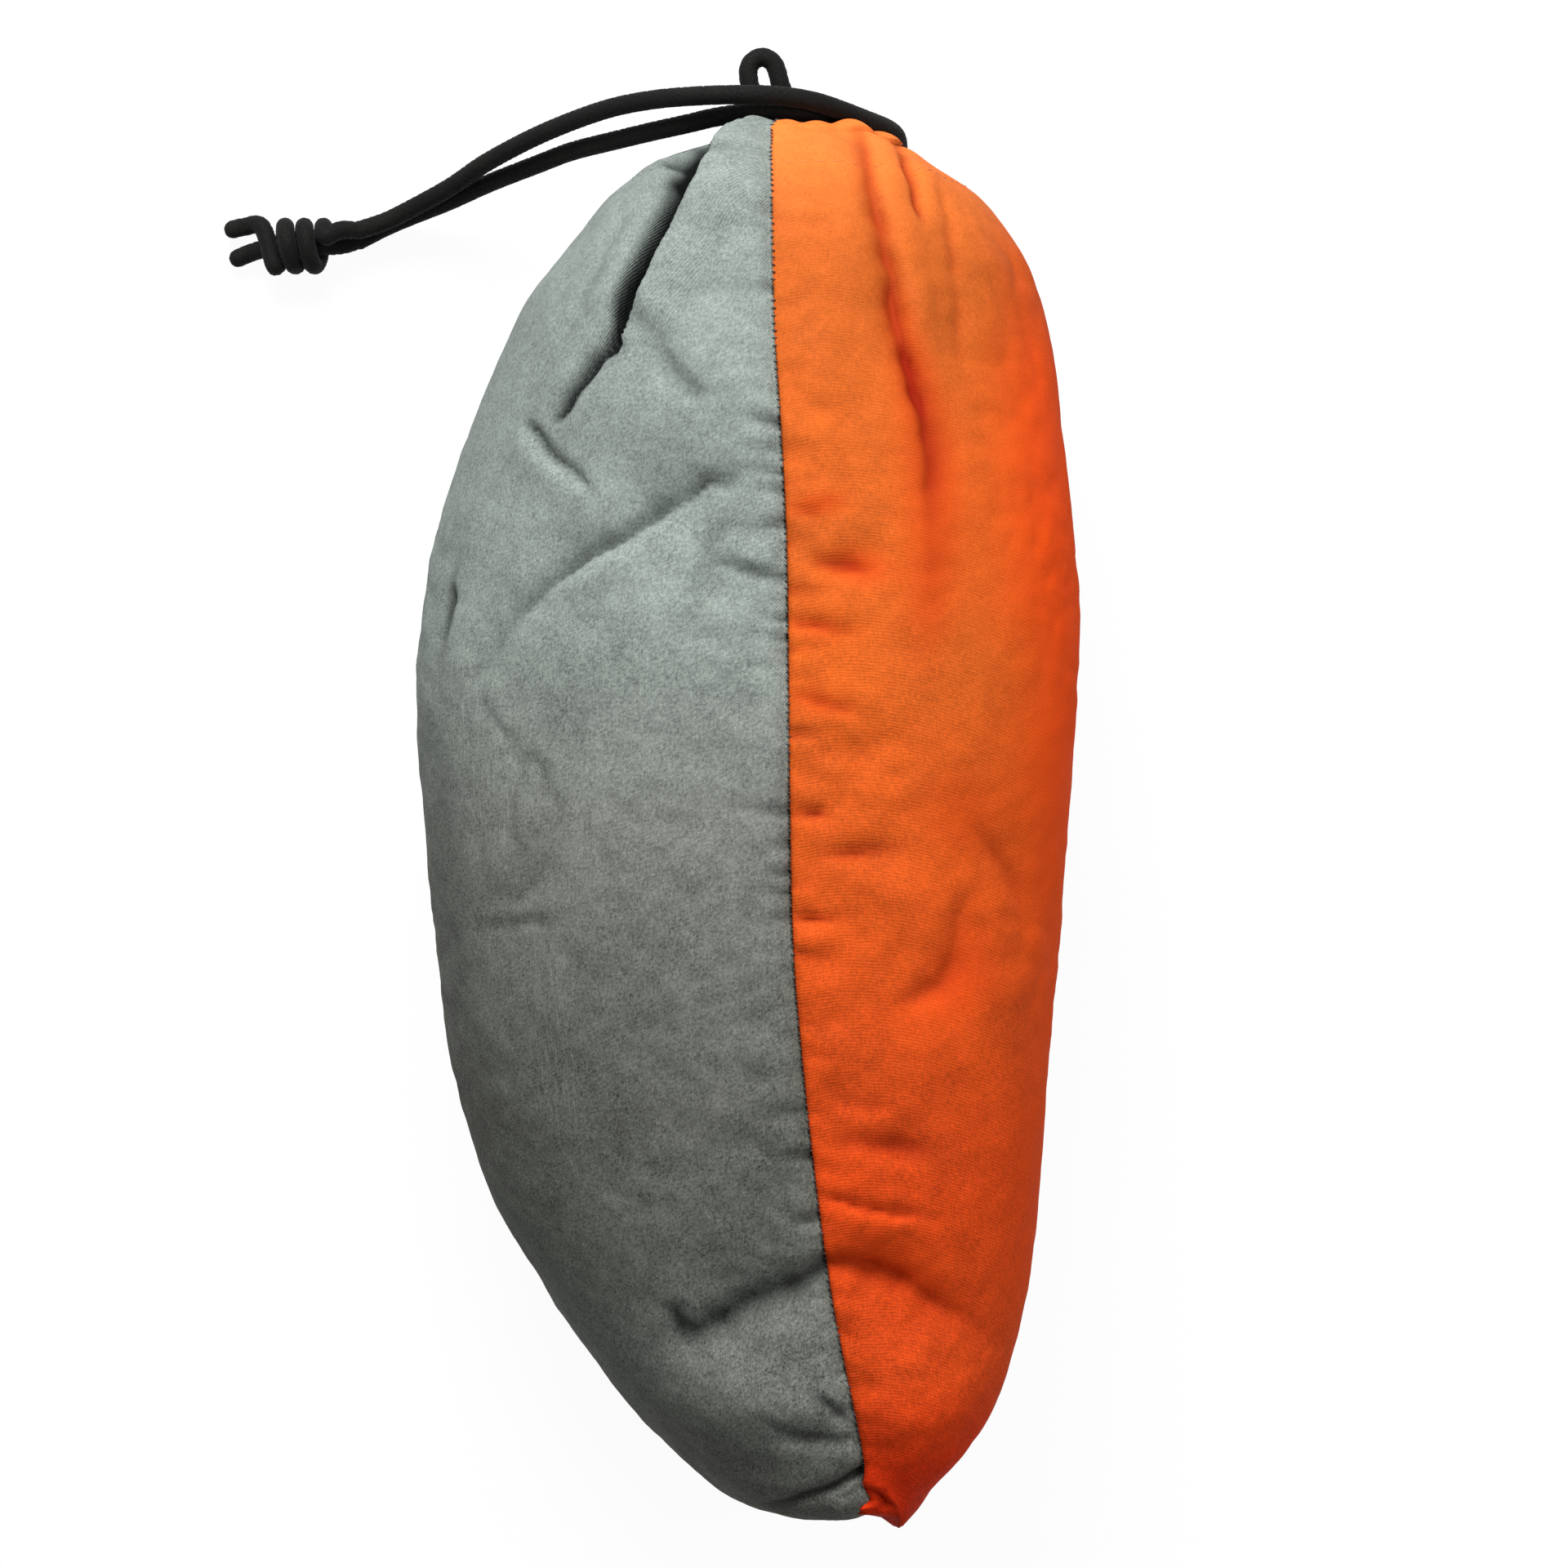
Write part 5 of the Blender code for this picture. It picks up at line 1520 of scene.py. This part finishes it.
# The run inside the casing, open on the underside: its radius, its ends in degrees and its place along the
# sack. The deep tuck presses it in: by how much, and where and how widely in degrees.
RING_RADIUS = 0.0109
RING_ENDS = (-70, 250)
RING_Y = 0.1063
RING_PRESS = 0.0012
PRESSED_AT = 160
PRESSED_SPREAD = 28
ring_degrees = np.linspace(*RING_ENDS, 60)
ring_radius = RING_RADIUS - RING_PRESS * bell(ring_degrees - PRESSED_AT, PRESSED_SPREAD)
ring_x, ring_z = round_neck(ring_radius, np.radians(ring_degrees))
neck_ring, _ = braid("drawcord_neck_ring_braid", np.stack([ring_x, np.full_like(ring_x, RING_Y), ring_z], -1))

for piece, body, node in ((upper_strand, "drawcord", "drawcord_upper_strand"),
                          (lower_strand, "drawcord", "drawcord_lower_strand"),
                          (end_knot, "drawcord", "drawcord_end_knot"),
                          (neck_ring, "sack", "drawcord_neck_ring")):
    piece.data.materials.append(black_braid)
    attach(piece, body)
    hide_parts(node)

# Hang loop: a short bight of the same braid, its ends sewn into the casing inside the mouth, so that it
# stands out over the edge and can be hung on a hook.

LOOP_ROUTE = (
    (9.8, 105.9, 35.0),
    (9.6, 109.7, 35.3),
    (8.1, 114.7, 35.7),
    (6.4, 118.9, 36.0),
    (5.7, 121.5, 36.0),
    (4.9, 123.0, 36.0),
    (3.2, 123.8, 36.0),
    (1.5, 123.0, 36.0),
    (0.8, 121.3, 36.0),
    (1.3, 118.2, 36.0),
    (2.9, 114.7, 35.7),
    (4.9, 110.2, 35.3),
    (5.3, 105.9, 35.0),
)
hang_loop, _ = braid("hang_loop_braid", cord_route(LOOP_ROUTE))
hang_loop.data.materials.append(black_braid)
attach(hang_loop, "hang_loop")
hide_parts("hang_loop")

# Studio: a plain pale floor that stays near white to the camera, one large soft lamp beyond the mouth, a weak
# fill on the right, and a camera straight above.

FLOOR_GREY = (0.40, 0.40, 0.40, 1)
FLOOR_GLOW = 1.12
FLOOR_GLOW_SHARE = 0.85
SKY_LIGHT = 0.14


def in_sight(tree):
    """1 for rays that the camera sees, straight or in a reflection, and 0 for the rest."""
    rays = tree.nodes.new("ShaderNodeLightPath").outputs
    return maths(tree, "MAXIMUM", rays["Is Camera Ray"], rays["Is Glossy Ray"])


def pale_floor(name):
    """A matt grey that glows white where it is seen."""
    material, tree, shader = blank_material(name)
    tree.nodes.remove(shader)
    matt = tree.nodes.new("ShaderNodeBsdfDiffuse")
    matt.inputs["Color"].default_value = FLOOR_GREY
    glow = tree.nodes.new("ShaderNodeEmission")
    glow.inputs["Strength"].default_value = FLOOR_GLOW
    mix = tree.nodes.new("ShaderNodeMixShader")
    tree.links.new(maths(tree, "MULTIPLY", in_sight(tree), FLOOR_GLOW_SHARE), mix.inputs[0])
    tree.links.new(matt.outputs[0], mix.inputs[1])
    tree.links.new(glow.outputs[0], mix.inputs[2])
    tree.links.new(mix.outputs[0], tree.nodes["Material Output"].inputs["Surface"])
    return material


floor_mesh = bpy.data.meshes.new("floor")
floor_mesh.from_pydata([(-3, -3, 0), (3, -3, 0), (3, 3, 0), (-3, 3, 0)], [], [(0, 1, 2, 3)])
floor = bpy.data.objects.new("floor", floor_mesh)
floor.data.materials.append(pale_floor("pale_floor"))
scene.collection.objects.link(floor)


def soft_lamp(name, place, aim, size, power):
    lamp = bpy.data.lights.new(name, "AREA")
    lamp.shape = "DISK"
    lamp.size = size
    lamp.energy = power
    obj = bpy.data.objects.new(name, lamp)
    obj.location = place
    obj.rotation_euler = (Vector(aim) - Vector(place)).to_track_quat("-Z", "Y").to_euler()
    scene.collection.objects.link(obj)


soft_lamp("window", place=(-0.11, 0.54, 0.48), aim=(0, 0.02, 0.03), size=0.36, power=6.4)
soft_lamp("fill", place=(0.42, -0.02, 0.60), aim=(0, 0, 0.03), size=0.40, power=1.4)

world = bpy.data.worlds.new("studio")
world.use_nodes = True
scene.world = world
sky = world.node_tree
background = sky.nodes["Background"]
background.inputs["Color"].default_value = (1, 1, 1, 1)
sky.links.new(ranged(sky, in_sight(sky), 0, 1, SKY_LIGHT, 1.0), background.inputs["Strength"])

camera = bpy.data.cameras.new("camera")
camera.lens = 85
camera.sensor_width = 36
camera_object = bpy.data.objects.new("camera", camera)
camera_object.location = (0.00693, -0.00080, 0.6707)
scene.collection.objects.link(camera_object)
scene.camera = camera_object
scene.view_settings.view_transform = "Standard"
